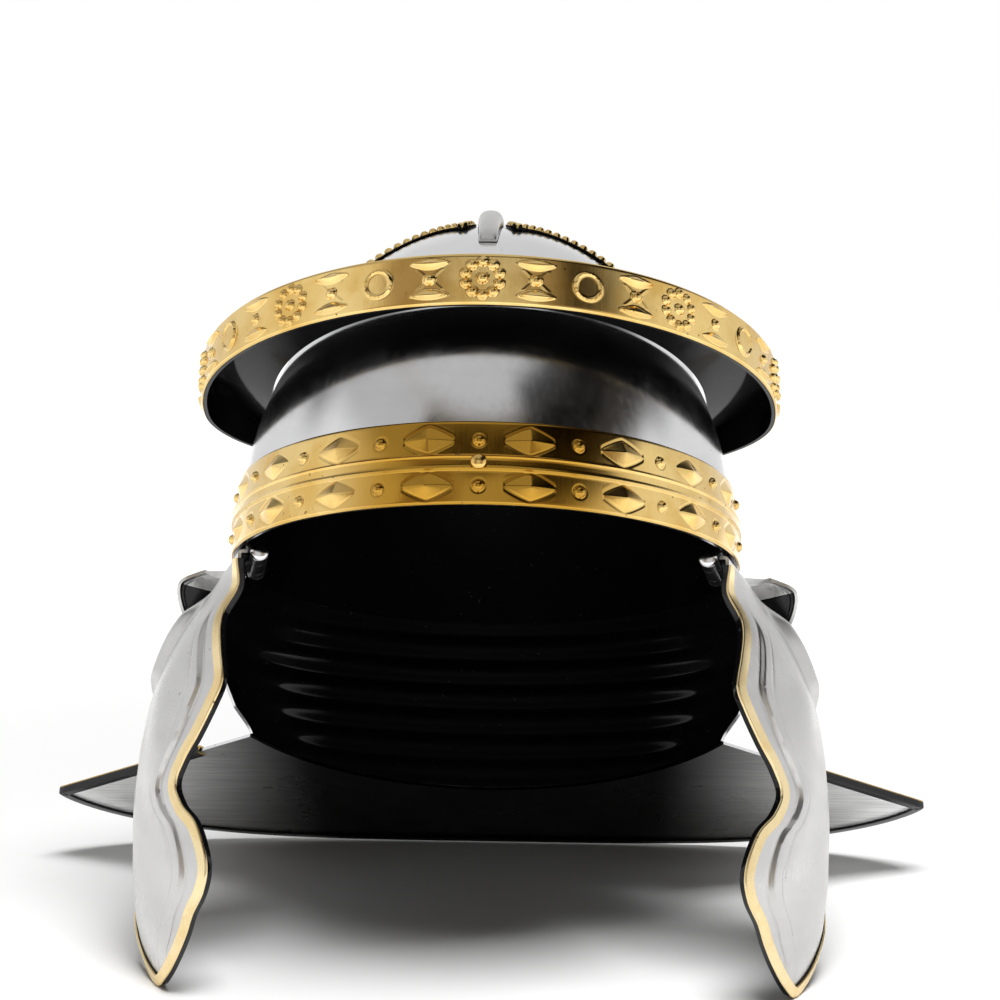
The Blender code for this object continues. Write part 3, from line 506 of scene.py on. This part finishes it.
def makeBrowGuard():
    guard = dict(columns=200, lipRows=8, bendRows=6, shelfRows=10, bend=0.0016, tabColumns=8)
    side = np.linspace(-1.0, 1.0, guard["columns"] + 1)
    top = browFace(side, 0.0 * side)
    foot = browFace(side, 0.0 * side + 1.0)
    seat = browSeat(side, 0.45 * sheet)
    up = unit(top - foot)
    inward = unit(seat - top)
    rows = [blend(foot, top - up * guard["bend"], share) for share in np.linspace(0, 1, guard["lipRows"] + 1)]
    for step in range(1, guard["bendRows"]):
        share = step / guard["bendRows"]
        start, end = top - up * guard["bend"], top + inward * guard["bend"]
        rows.append((1 - share) ** 2 * start + 2 * share * (1 - share) * top + share ** 2 * end)
    rows += [blend(top + inward * guard["bend"], seat, share) for share in np.linspace(0, 1, guard["shelfRows"] + 1)]
    strip = np.stack(rows, 1)
    tabs = []
    for end in (-1.0, 1.0):
        share = np.linspace(0, 1, guard["tabColumns"] + 1)
        azimuth = browAzimuth(np.array(end)) + end * (brow["tabStart"] + share * brow["tab"]) / bowl["halfLength"]
        low = brow["seat"] - brow["droop"] - brow["tabHeight"]
        height = blend(low, low + brow["tabHeight"], np.linspace(0, 1, strip.shape[1]))
        azimuth, height = np.meshgrid(azimuth, height, indexing="ij")
        tab = onBowl(azimuth, height, sheet + gap)
        tabs.append(tab[::-1] if end < 0 else tab)
    full = np.concatenate([tabs[0], strip, tabs[1]])
    mesher = Mesher()
    mesher.shell(full, sheet, (0, 1, 1))
    made = mesher.build("browGuardShelf", "helmet", [steel, enamel])
    stands(made, "polished_steel", "brow_guard")


rosette = dict(middle=0.0021, middleRise=0.0018, ring=0.0065, beads=10, bead=0.0018, beadRise=0.0016)
hourglass = dict(stud=0.0021, studRise=0.0017, lensAt=0.0063, lensHalf=0.0072, lensOut=0.0016, lensIn=0.0026,
                 lensRise=0.0015, handFoot=0.0012, handSpan=0.0030, handStart=0.0016, handEnd=0.0048,
                 handRise=0.00018, handWidth=0.0005)
disc = dict(radius=0.0054, rise=0.0005, slope=0.0006, ring=0.0050, ringWidth=0.00045, ringRise=0.0007)


def rosetteHeight(along, up):
    relief = beadHeight(along, up, rosette["middle"], rosette["middleRise"])
    for bead in range(rosette["beads"]):
        turn = 2 * math.pi * (bead + 0.5) / rosette["beads"]
        x, y = rosette["ring"] * math.cos(turn), rosette["ring"] * math.sin(turn)
        relief = np.maximum(relief, beadHeight(along - x, up - y, rosette["bead"], rosette["beadRise"]))
    return relief


def hourglassHeight(along, up):  # two lenses, a stud between them and four thin hands
    relief = beadHeight(along, up, hourglass["stud"], hourglass["studRise"])
    lens = 1.0 - (along / hourglass["lensHalf"]) ** 2
    slope = (np.abs(up) - hourglass["handFoot"]) / hourglass["handSpan"]
    mask = smooth(slope * 6 + 0.5) * smooth((1.0 - slope) * 6 + 0.5)
    for sign in (-1, 1):
        local = sign * up - hourglass["lensAt"]
        reach = np.where(local > 0, hourglass["lensOut"], hourglass["lensIn"]) * lens
        point = np.clip(1.0 - np.abs(local) / np.maximum(reach, 1e-5), 0.0, 1.0) ** 0.8
        relief = np.maximum(relief, hourglass["lensRise"] * point * (lens > 0))
        line = along - sign * blend(hourglass["handStart"], hourglass["handEnd"], slope)
        relief = np.maximum(relief, ridgeHeight(line, hourglass["handWidth"], hourglass["handRise"]) * mask)
    return relief


def discHeight(along, up):
    reach = np.hypot(along, up)
    plateau = disc["rise"] * smooth((disc["radius"] - reach) / disc["slope"] + 0.5)
    return plateau + ridgeHeight(reach - disc["ring"], disc["ringWidth"], disc["ringRise"])


def makeBrowBand():
    band = dict(columns=980, rows=56, figures=10)
    end = brow["bandEnd"]
    sides = np.linspace(-end, end, band["columns"] + 1)
    walk = arcLengths(browFace(sides, 0.0 * sides + 0.5))
    along = (walk - 0.5 * walk[-1])[:, None]
    down = np.linspace(1.0, 0.0, band["rows"] + 1)[None, :]
    side = sides[:, None] + 0.0 * down
    top = browFace(side, 0.0 * side)
    depth = blend(brow["depthFront"], brow["depthRear"], browShare(browOutline(side)[..., 1]))
    up = (0.5 - down) * depth
    along = along + 0.0 * down
    step = np.round(along / brow["pitch"])
    offset = along - step * brow["pitch"]
    kind = np.where(np.abs(step) <= band["figures"], np.abs(step) % 4, -1)
    relief = dents(along + 0.3, up)
    for number, figure in ((0, rosetteHeight), (1, hourglassHeight), (2, discHeight), (3, hourglassHeight)):
        relief += np.where(kind == number, figure(offset, up), 0.0)
    relief -= edgeFall(np.minimum(down, 1.0 - down) * depth)
    out = browOut(side)
    base = top - np.array([0.0, 0.0, 1.0]) * (down * depth)[..., None]
    outer = base + out * (gap + brassSheet + relief)[..., None]
    inner = base + out * gap
    mesher = Mesher()
    mesher.grid(outer, 0, np.stack([along, up], -1))
    mesher.backing(outer, inner, 7, 14)
    made = mesher.build("browBandRelief", "helmet", [brass], sharp=60)
    stands(made, "embossed_brass", "brow_band")


makeBrowGuard()
makeBrowBand()
print("brow guard and band made")


def makeCrestRib():
    rib = dict(width=0.0105, rise=0.0080, front=-0.066, back=0.060, stations=140, sides=28, end=0.004, swellPower=0.42,
               narrow=0.6, sidePower=0.8, topPower=0.75, topShare=0.9)
    share, turn = gridOf(rib["stations"], rib["sides"])
    swell = np.sin(math.pi * blend(rib["end"], 1.0 - rib["end"], share)) ** rib["swellPower"]
    angle = math.pi * turn
    across = np.sign(np.cos(angle)) * np.abs(np.cos(angle)) ** rib["sidePower"]
    x = -0.5 * rib["width"] * blend(rib["narrow"], 1.0, swell) * across
    lift = gap + 0.5 * facetSag + rib["topShare"] * rib["rise"] * swell * np.abs(np.sin(angle)) ** rib["topPower"]
    points = aboveBowl(x, blend(rib["front"], rib["back"], share), lift)
    mesher = Mesher()
    mesher.grid(points, 0, None, True)
    for end, flip in ((0, True), (-1, False)):
        low = aboveBowl(x[end], blend(rib["front"], rib["back"], share[end]), gap + 0.0 * x[end])
        mesher.grid(np.stack([points[end], blend(points[end], low, 0.5), low], 1), 0, None, flip)
    made = mesher.build("crestRibRound", "helmet", [cheekSteel], sharp=50)
    stands(made, "polished_steel", "crest_rib")


def makeCrescent(label, side):
    plate = dict(radius=0.032, side=0.038, back=-0.030, bite=0.034, columns=190, rows=70, bead=0.0016,
                 beadPitch=0.0035, beadRise=0.0017, inset=0.0020, lineInset=0.0044, lineWidth=0.0005,
                 lineRise=0.0004, seat=0.0002)
    radius, bite = plate["radius"], plate["bite"]
    horn = math.acos(-0.5 * bite / radius)
    across, share = gridOf(plate["columns"], plate["rows"])
    turn = blend(-horn, horn, across) * side
    biteTurn = blend(-(math.pi - horn), math.pi - horn, across) * side
    x = blend(radius * np.sin(biteTurn), radius * np.sin(turn), share)
    y = blend(radius * np.cos(biteTurn) - bite, radius * np.cos(turn), share)
    fromOuter = radius - np.hypot(x, y)
    fromInner = np.hypot(x, y + bite) - radius
    relief = np.zeros_like(x)
    for distance, angle in ((fromOuter, np.arctan2(x, y)), (fromInner, np.arctan2(x, y + bite))):
        walk = angle * radius
        offset = walk - np.round(walk / plate["beadPitch"]) * plate["beadPitch"]
        relief = np.maximum(relief, beadHeight(offset, distance - plate["inset"], plate["bead"], plate["beadRise"]))
        relief += ridgeHeight(distance - plate["lineInset"], plate["lineWidth"], plate["lineRise"])
    foot = gap + plate["seat"]
    outer = aboveBowl(side * plate["side"] + x, plate["back"] + y, foot + brassSheet + relief)
    inner = aboveBowl(side * plate["side"] + x, plate["back"] + y, foot + 0.0 * x)
    mesher = Mesher()
    mesher.grid(outer, 0, np.stack([x, y], -1), side < 0)
    mesher.grid(inner, 1, None, side > 0)
    for row, flip in ((0, False), (-1, True)):
        strip = np.stack([outer[:, row], inner[:, row]], 1)
        mesher.grid(strip, 1, None, flip != (side < 0))
    made = mesher.build("crescentPlate_" + label, "helmet", [brass, enamel], sharp=60)
    stands(made, "embossed_brass", "crescent_" + label)


def earInner(share):  # along the bowl's edge first, then down the nape's edge
    edge = math.asin(rearEdges[0])
    earTurn, earDrop, clearance = 0.34, 0.42, 0.001
    first = onBowl(blend(0.01, edge, share / earTurn), 0.0 * share, gap) + np.array([0, 0, clearance])
    down = np.maximum(earDrop * (share - earTurn) / (1.0 - earTurn), 0.0)
    second = rearPoint(0.0 * share, down, gap) + np.stack([0 * share, 0 * share, clearance * (1.0 - down)], -1)
    return np.where((share < earTurn)[..., None], first, second)


def makeEarGuard(label, side):
    ear = dict(reach=0.018, lip=0.0022, columns=70, rows=18, shadeFrom=0.56, outs=(0.167, 0.5, 0.917, 1.0, 0.694, 0.167),
               rises=(-0.333, -0.222, 0.028, 0.25, 0.194, 0.0), lipFrom=0.86, lipOut=0.3, lean=-0.12)
    across, share = gridOf(ear["columns"], ear["rows"])
    inner = earInner(across)
    out = ear["reach"] * curveValue(ear["outs"], across * 5)
    rise = ear["reach"] * curveValue(ear["rises"], across * 5)
    reach = np.minimum(share / ear["lipFrom"], 1.0)
    lip = np.maximum((share - ear["lipFrom"]) / (1.0 - ear["lipFrom"]), 0.0)
    curve = np.sin(0.5 * math.pi * lip)
    points = inner + np.stack([out * reach + ear["lipOut"] * ear["lip"] * curve,
                               ear["lean"] * out * reach - ear["lip"] * lip, rise * reach], -1)
    points[..., 0] *= side
    mesher = Mesher()
    mesher.shell(points, sheet, (1, 0, 0), flip=side < 0)
    # painted shade: the rear part of the outer face is black enamel, standing for the dark underside
    shadedRear = np.arange(ear["columns"]) >= ear["shadeFrom"] * ear["columns"]
    mesher.slots[0] = np.repeat(shadedRear, ear["rows"]).astype(int)
    made = mesher.build("earGuardFlange_" + label, "helmet", [cheekSteel, enamel])
    stands(made, "polished_steel", "ear_guard_" + label)


makeCrestRib()
for label, side in (("left", -1), ("right", 1)):
    makeCrescent(label, side)
    makeEarGuard(label, side)
print("crest, crescents and ear guards made")

hinge = dict(side=0.0923, back=-0.022, drop=0.002, yaw=math.radians(9.5), length=0.036, knuckle=0.0036,
             pin=0.0015, knuckleLength=0.009, knuckleGap=0.0004, headRadius=0.0037, headRise=0.0028,
             headSide=0.0013, leaf=0.0011, leafHeight=0.015, leafFoot=0.011, leafSet=0.0004,
             leafRows=(2.0, 2.6, 3.2, 3.9), bevel=0.0003)
cheek = dict(length=0.1677, reach=0.0444, width=0.0837, curl=0.023, curlSpan=0.050, curlStart=0.020,
             rearCurl=0.009, rearSpan=0.030, ribRise=0.0013, ribInset=0.0115, flangeRise=0.0065, flangeWidth=0.011,
             flangeFrom=0.05, flangeTo=0.36)
cheekRows = np.array([
    (0.000, 0.113, -0.275, 0.227, 0.00), (0.004, 0.225, -0.278, 0.239, 0.10), (0.030, 0.327, -0.275, 0.245, 0.35),
    (0.089, 0.468, -0.263, 0.251, 0.78), (0.146, 0.608, -0.265, 0.275, 0.87), (0.189, 0.694, -0.296, 0.311, 0.90),
    (0.247, 0.788, -0.349, 0.370, 0.95), (0.319, 0.885, -0.403, 0.442, 1.00), (0.376, 0.930, -0.391, 0.490, 1.00),
    (0.447, 0.968, -0.345, 0.532, 1.00), (0.501, 0.984, -0.291, 0.556, 1.00), (0.556, 0.998, -0.260, 0.573, 1.00),
    (0.608, 1.000, -0.302, 0.573, 1.00), (0.656, 0.993, -0.376, 0.562, 1.00), (0.739, 0.977, -0.420, 0.514, 1.00),
    (0.800, 0.950, -0.397, 0.440, 1.00), (0.850, 0.923, -0.338, 0.370, 1.00), (0.895, 0.878, -0.287, 0.287, 0.98),
    (0.937, 0.829, -0.220, 0.197, 0.94), (0.972, 0.786, -0.137, 0.108, 0.90), (0.995, 0.760, -0.054, 0.030, 0.86),
    (1.000, 0.752, -0.012, -0.012, 0.84)])
cheekLast = len(cheekRows) - 1


def hingePlace(side):
    yaw = Matrix.Rotation(-side * hinge["yaw"], 4, "Z")
    return helmetPlace @ Matrix.Translation((side * hinge["side"], hinge["back"], -hinge["drop"])) @ yaw


def cheekEdges(down):
    return (cheek["width"] * curveValue(cheekRows[:, 2], down), cheek["width"] * curveValue(cheekRows[:, 3], down))


def cheekFace(down, y):
    drop = curveValue(cheekRows[:, 0], down)
    curl = cheek["curl"] * curveValue(cheekRows[:, 4], down)
    x = cheek["reach"] * curveValue(cheekRows[:, 1], down)
    bent = np.where(y < cheek["curlStart"], curl * ((cheek["curlStart"] - y) / cheek["curlSpan"]) ** 2,
                    cheek["rearCurl"] * ((y - cheek["curlStart"]) / cheek["rearSpan"]) ** 2)
    rear = cheekEdges(down)[1]
    flange = smooth((drop - cheek["flangeFrom"]) * 14) * smooth((cheek["flangeTo"] - drop) * 9)
    x = x - bent + cheek["flangeRise"] * flange * smooth(1.0 - (rear - y) / cheek["flangeWidth"])
    return np.stack([x, y, -cheek["length"] * drop], -1)


def cheekNormal(down, y):
    low = np.maximum(down - 0.05, 0.0)
    high = np.minimum(down + 0.05, float(cheekLast))
    along = cheekFace(high, y) - cheekFace(low, y)
    across = cheekFace(down, y + 0.001) - cheekFace(down, y - 0.001)
    return unit(np.cross(along, across))


def makeCheek(label, side):
    piece = dict(columns=115, rows=270, ribFrom=0.16, ribTo=0.93, insetShare=0.3, ribHalf=0.0030, ribSlope=0.0014,
                 grooveAt=0.0034, grooveWidth=0.0006, grooveDepth=0.16)
    across, share = gridOf(piece["columns"], piece["rows"])
    down = share * cheekLast
    front, rear = cheekEdges(down)
    y = blend(front, rear, across)
    inset = np.minimum(cheek["ribInset"], piece["insetShare"] * (rear - front))
    offset = np.abs((y - front) - inset)
    fade = smooth((share - piece["ribFrom"]) * 8) * smooth((piece["ribTo"] - share) * 8)
    rib = smooth((piece["ribHalf"] - offset) / piece["ribSlope"])
    groove = ridgeHeight(offset - piece["grooveAt"], piece["grooveWidth"], piece["grooveDepth"])
    relief = cheek["ribRise"] * (rib - groove) * fade
    points = cheekFace(down, y) + cheekNormal(down, y) * relief[..., None]
    points[..., 0] *= side
    mesher = Mesher()
    mesher.shell(points, sheet, (0, 1, 0), flip=side > 0)
    made = mesher.build("cheekPlate_" + label, "cheek_piece_" + label, [cheekSteel, enamel], hingePlace(side))
    stands(made, "polished_steel", "cheek_" + label)


binding = dict(width=0.0032, clearance=0.0005, bevel=0.0002, round=0.0009, frontStart=1.8, rearStart=9.0)


def bindingGrid(mesher, points, normals):  # a folded strip along an edge, brass in front and black behind
    width, clearance, bevel, curve = (binding[name] for name in ("width", "clearance", "bevel", "round"))
    half = 0.5 * sheet + clearance
    thick = half + brassSheet
    middle = points - normals * 0.5 * sheet
    along = unit(np.gradient(points, axis=0))
    inward = unit(np.cross(normals, along))
    nose = -clearance - brassSheet
    outline = [(width, half), (width, thick - bevel), (width - bevel, thick)]
    outline += [(nose + curve - curve * math.sin(turn), thick - curve + curve * math.cos(turn))
                for turn in np.linspace(0.0, 0.5 * math.pi, 6)]
    outline += [(depth, -rise) for depth, rise in reversed(outline[2:])]
    outline += [(width, -thick + bevel), (width, -half), (-clearance, -half), (-clearance, half), (width, half)]
    strip = np.stack([middle + inward * depth + normals * rise for depth, rise in outline], 1)
    parting = 9
    mesher.grid(strip[:, :parting], 0, None, True)
    mesher.grid(strip[:, parting - 1:], 1, None, True)
    rounded = outline[1:-4]
    folded = [(max(depth, -clearance), min(max(rise, -half), half)) for depth, rise in rounded]
    for end in (0, -1):
        ring, seam = (np.array([middle[end] + inward[end] * depth + normals[end] * rise for depth, rise in path])
                      for path in (rounded, folded))
        facing = np.cross(ring[1:] - ring[:-1], seam[:-1] - ring[:-1]).sum(0) @ along[end]
        mesher.grid(np.stack([ring, seam], 1), 0, None, (facing > 0) == (end == 0))


def makeCheekTrim(label, side):
    downFront = np.linspace(binding["frontStart"], cheekLast - 0.02, 330)
    downRear = np.linspace(cheekLast - 0.02, binding["rearStart"], 230)
    tip = np.linspace(0.0, 1.0, 9)[1:-1]
    frontY = cheekEdges(downFront)[0]
    rearY = cheekEdges(downRear)[1]
    down = np.concatenate([downFront, np.full(len(tip), float(cheekLast)), downRear])
    tipY = blend(frontY[-1], rearY[0], tip)
    y = np.concatenate([frontY, tipY, rearY])
    points = cheekFace(down, y)
    normals = cheekNormal(down, y)
    points[:, 0] *= side
    normals[:, 0] *= side
    if side < 0:
        points, normals = points[::-1], normals[::-1]
    mesher = Mesher()
    bindingGrid(mesher, points, normals)
    made = mesher.build("cheekBinding_" + label, "cheek_piece_" + label, [trimBrass, enamel], hingePlace(side))
    stands(made, "embossed_brass", "cheek_trim_" + label)


def makeNeckTrim():
    slope = math.atan(nape["slope"])
    across = np.linspace(0.0, 1.0, 400)
    edge = guardEdge(across)
    rights, lefts = ([blend(guardEdge(np.array(end)), napeFoot(np.array(end)), share)
                      for share in np.linspace(0.03, 0.75, 30)] for end in (0.0, 1.0))
    points = np.concatenate([np.array(rights[::-1]), edge, np.array(lefts)])
    normals = np.broadcast_to(np.array([0.0, math.sin(slope), math.cos(slope)]), points.shape)
    mesher = Mesher()
    bindingGrid(mesher, points, normals)
    made = mesher.build("neckBinding", "helmet", [brass, enamel])
    stands(made, "embossed_brass", "neck_trim")


for label, side in (("left", -1), ("right", 1)):
    makeCheek(label, side)
    makeCheekTrim(label, side)
makeNeckTrim()
print("cheek pieces and bindings made")


def turned(mesher, profile, axis="z", sides=40, slot=0):  # a closed turned shape from (radius, height) pairs
    turn = np.linspace(0, 2 * math.pi, sides + 1)[:, None]
    radius = np.array([pair[0] for pair in profile])[None, :]
    height = np.array([pair[1] for pair in profile])[None, :] + 0.0 * turn
    ring = [radius * np.cos(turn), radius * np.sin(turn), height]
    if axis == "y":
        ring = [ring[0], height, -ring[1]]
    mesher.grid(np.stack(ring, -1), slot)


def domeProfile(radius, rise, low, steps=8):
    profile = [(0.0, low), (radius, low)]
    profile += [(radius * math.cos(turn), low + rise * math.sin(turn)) for turn in np.linspace(0, 0.5 * math.pi, steps)]
    return profile


def wallPlace(y, height):
    toHinge = np.array((helmetPlace.inverted() @ hingePlace(1)).inverted())
    low, high = -1.4, 0.4
    for _ in range(34):
        middle = 0.5 * (low + high)
        point = onBowl(np.array(middle), np.array(height), -sheet - gap - facetSag)
        point = toHinge[:3, :3] @ point + toHinge[:3, 3]
        low, high = (middle, high) if point[1] < y else (low, middle)
    return point


def leafGrid(mesher, rows, columns, side, slot=0):
    points = np.array([[row(y) for row in rows] for y in columns])
    points[..., 0] *= side
    mesher.shell(points, hinge["leaf"], (slot,) * 3, flip=side < 0)


def tube(mesher, start, end):
    inner, bevel = hinge["pin"] + gap, hinge["bevel"]
    turned(mesher, [(inner, start), (hinge["knuckle"] - bevel, start), (hinge["knuckle"], start + bevel),
                    (hinge["knuckle"], end - bevel), (hinge["knuckle"] - bevel, end), (inner, end), (inner, start)],
           axis="y")


def makeHinge(label, side):
    half = 0.5 * hinge["length"]
    inner = half - hinge["knuckleLength"]
    seat = 0.5 * (hinge["knuckle"] + hinge["pin"] + gap) - 0.4 * hinge["leaf"]
    knuckle = hinge["knuckle"]
    upper = [lambda y: wallPlace(y, hinge["leafFoot"] + hinge["leafHeight"]), lambda y: wallPlace(y, hinge["leafFoot"]),
             lambda y: (1.3 * knuckle, y, knuckle), lambda y: (0.8 * knuckle, y, seat), lambda y: (0.0, y, seat)]
    mesher = Mesher()
    leafGrid(mesher, upper[:3], np.linspace(-half, half, 24), side)
    for start, end in ((-half, -inner), (inner, half)):
        leafGrid(mesher, upper[2:], np.linspace(start, end, 8), side)
        tube(mesher, start, end)
    made = mesher.build("bowlLeaf_" + label, "helmet", [hingeBlack], hingePlace(side))
    stands(made, "polished_steel", "bowl_leaf_" + label)

    lower = [lambda y: (0.0, y, -seat), lambda y: (knuckle, y, -seat - hinge["leafSet"])]
    for down in hinge["leafRows"]:
        lower.append(lambda y, down=down: cheekFace(np.array(down), np.array(y))
                     - cheekNormal(np.array(down), np.array(y)) * (sheet + gap + facetSag))
    mesher = Mesher()
    reach = inner - hinge["knuckleGap"]
    leafGrid(mesher, lower, np.linspace(-reach, reach, 12), side)
    tube(mesher, -reach, reach)
    made = mesher.build("cheekLeaf_" + label, "cheek_piece_" + label, [hingeBlack], hingePlace(side))
    stands(made, "polished_steel", "cheek_leaf_" + label)

    neck = half + gap
    rise, rim = hinge["headRise"], hinge["headSide"]
    head = [(hinge["headRadius"] * math.sin(turn), rim + (rise - rim) * math.cos(turn))
            for turn in np.linspace(0.0, 0.5 * math.pi, 9)] + [(hinge["headRadius"], 0.0)]
    profile = [(radius, -neck - depth) for radius, depth in head] + [(hinge["pin"], -neck), (hinge["pin"], neck)]
    profile += [(radius, neck + depth) for radius, depth in reversed(head)]
    mesher = Mesher()
    turned(mesher, profile, axis="y")
    made = mesher.build("hingePin_" + label, "helmet", [steel], hingePlace(side))
    stands(made, "polished_steel", "hinge_pin_" + label)


rivet = dict(big=(0.0030, 0.0018), small=(0.0021, 0.0013), foot=0.0002)


def makeRivet(node, body, slotName, finish, size):  # the head stands on the flat foot of the CAD rivet
    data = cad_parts[node].data
    points = np.array([vertex.co for vertex in data.vertices])
    normals = np.array([face.normal for face in data.polygons])
    areas = np.array([face.area for face in data.polygons])
    biggest = normals[np.argmax(areas)]
    axis = unit(-biggest)
    heights = points @ axis
    foot = points[heights < heights.min() + rivet["foot"]].mean(0)
    if (points.mean(0) - foot) @ axis < 0:
        axis = -axis
    place = Vector(axis).to_track_quat("Z", "Y").to_matrix().to_4x4()
    place.translation = Vector(foot)
    mesher = Mesher()
    turned(mesher, domeProfile(*rivet[size], 0.0))
    made = mesher.build("rivetHead_" + node, body, [finish], place)
    stands(made, slotName, node)


for label, side in (("left", -1), ("right", 1)):
    makeHinge(label, side)
    makeRivet("brow_rivet_" + label, "helmet", "polished_steel", steel, "big")
    for number in (1, 2):
        makeRivet(f"bowl_leaf_rivet_{label}_{number}", "helmet", "polished_steel", hingeBlack, "small")
        makeRivet(f"cheek_leaf_rivet_{label}_{number}", "cheek_piece_" + label, "polished_steel", hingeBlack, "small")
makeRivet("rim_rivet", "helmet", "embossed_brass", brass, "big")
print("hinges and rivets made")


def makeFloor():
    room = dict(half=40.0, tone=0.84, near=0.15, far=1.5, glow=0.95)
    made, shader, place = newMaterial("whiteFloor", {"Roughness": 0.6, "Emission Strength": 1.0})
    tone = [room["tone"]] * 3
    shader.inputs["Base Color"].default_value = (*tone, 1.0)
    reach = place.add("ShaderNodeVectorMath", dict(operation="LENGTH"), {0: place}, "Value")
    glow = reach.ramp(room["near"], room["far"]).mix((0.0, 0.0, 0.0), [room["glow"]] * 3)
    made.node_tree.links.new(glow.socket, shader.inputs["Emission Color"])
    mesh = bpy.data.meshes.new("floor")
    half = room["half"]
    mesh.from_pydata([(-half, -half, 0), (half, -half, 0), (half, half, 0), (-half, half, 0)], [], [(0, 1, 2, 3)])
    mesh.materials.append(made)
    floor = bpy.data.objects.new("floor", mesh)
    bpy.context.scene.collection.objects.link(floor)


def makeWorld():  # soft walls of light at the sides, a dim room in front, a pale ceiling
    room = dict(front=0.42, frontHigh=0.05, screen=0.72, screenSide=18.0, screenTop=41.0, wall=0.96, wallHigh=0.60,
                ceiling=0.62, back=0.88, backHigh=0.22, backTop=0.80, side=45.0, soft=3.0, rear=110.0, rearSoft=10.0,
                leftTop=58.0, rightTop=33.0, ceilingFoot=56.0, topSoft=5.0, screenSoft=4.0, turnSoft=10.0,
                wallFade=(30.0, 40.0), backFade=(18.0, 29.0), backTurn=(125.0, 150.0), shade=0.92,
                shadeSides=((22.0, 40.0), (125.0, 145.0)), shadeHeights=((25.0, 34.0), (62.0, 72.0)), fill=0.30,
                warm=(1.0, 0.82, 0.60), white=(1.0, 1.0, 1.0))
    world = bpy.data.worlds.new("studio")
    bpy.context.scene.world = world
    world.use_nodes = True
    tree = world.node_tree
    back = tree.nodes["Background"]
    start = Wire(tree, None)
    place = start.add("ShaderNodeTexCoord", output="Generated")
    parts = tree.nodes.new("ShaderNodeSeparateXYZ")
    tree.links.new(place.socket, parts.inputs[0])
    x, y, z = (Wire(tree, parts.outputs[number]) for number in range(3))
    turn = x.maths("ARCTAN2", x, 0.0 - y) * (180.0 / math.pi)
    azimuth = x.maths("ABSOLUTE", turn)
    height = z.maths("ARCSINE", z) * (180.0 / math.pi)
    top = turn.ramp(-room["turnSoft"], room["turnSoft"], room["leftTop"], room["rightTop"])
    wall = azimuth.ramp(room["side"] - room["soft"], room["side"] + room["soft"])
    wall = wall * (height - top).ramp(-room["topSoft"], room["topSoft"], 1.0, 0.0)
    wallStrength = height.ramp(*room["wallFade"], room["wall"], room["wallHigh"])
    screenSides = (room["screenSide"] - room["screenSoft"], room["screenSide"] + room["screenSoft"])
    screenEdge = (room["screenTop"] - 1.5, room["screenTop"] + 2.5)
    screen = azimuth.ramp(*screenSides, 1.0, 0.0) * height.ramp(*screenEdge, 1.0, 0.0)
    ceiling = height.ramp(room["ceilingFoot"] - room["topSoft"], room["ceilingFoot"] + room["topSoft"])
    rear = azimuth.ramp(room["rear"] - room["rearSoft"], room["rear"] + room["rearSoft"])
    frontStrength = height.ramp(*screenEdge, room["front"], room["frontHigh"])
    backAbove = azimuth.ramp(*room["backTurn"], room["backHigh"], room["backTop"])
    backStrength = height.ramp(*room["backFade"], room["back"], backAbove)
    shade = turn.ramp(*room["shadeSides"][0]) * turn.ramp(*room["shadeSides"][1], 1.0, 0.0)
    shade = shade * height.ramp(*room["shadeHeights"][0]) * height.ramp(*room["shadeHeights"][1], 1.0, 0.0)
    strength = frontStrength + screen * (room["screen"] - frontStrength)
    strength = strength + wall * (wallStrength - strength)
    strength = strength + rear * (backStrength - strength)
    strength = strength + ceiling * (room["ceiling"] - strength)
    strength = strength * (1.0 - room["shade"] * shade)
    spread = start.add("ShaderNodeLightPath", output="Is Diffuse Ray")
    strength = strength * (1.0 - (1.0 - room["fill"]) * spread)
    seen = start.add("ShaderNodeLightPath", output="Is Camera Ray")
    strength = strength + seen * (1.0 - strength)
    neutral = wall
    for part in (screen, ceiling, rear, seen):
        neutral = neutral.maths("MAXIMUM", neutral, part)
    color = neutral.mix(room["warm"], room["white"])
    tree.links.new(color.socket, back.inputs["Color"])
    tree.links.new(strength.socket, back.inputs["Strength"])


def makeLamps():
    lamp = dict(spot=(0.18, -0.56, 1.65), target=(0.0, -0.05, 0.0), width=0.9, height=0.6, power=40.0)
    light = bpy.data.lights.new("key", "AREA")
    light.shape = "RECTANGLE"
    light.size, light.size_y, light.energy = lamp["width"], lamp["height"], lamp["power"]
    made = bpy.data.objects.new("key", light)
    made.location = lamp["spot"]
    made.rotation_euler = (Vector(lamp["target"]) - Vector(lamp["spot"])).to_track_quat("-Z", "Y").to_euler()
    made.visible_glossy = False
    bpy.context.scene.collection.objects.link(made)


def makeCamera():
    view = dict(spot=(0.026, -0.9113, 0.2693), pitch=5.54, yaw=-1.315, roll=0.655, focus=2165.0)
    data = bpy.data.cameras.new("camera")
    data.sensor_width = 36.0
    data.lens = view["focus"] * data.sensor_width / 1000.0
    data.clip_start, data.clip_end = 0.01, 50.0
    camera = bpy.data.objects.new("camera", data)
    turns = ((-view["yaw"], "Z"), (90.0 - view["pitch"], "X"), (view["roll"], "Z"))
    yaw, pitch, roll = (Matrix.Rotation(math.radians(angle), 4, axis) for angle, axis in turns)
    camera.matrix_world = Matrix.Translation(view["spot"]) @ yaw @ pitch @ roll
    bpy.context.scene.collection.objects.link(camera)
    bpy.context.scene.camera = camera


makeFloor()
makeWorld()
makeLamps()
makeCamera()
bpy.context.scene.view_settings.view_transform = "Standard"
print("stage and camera made")
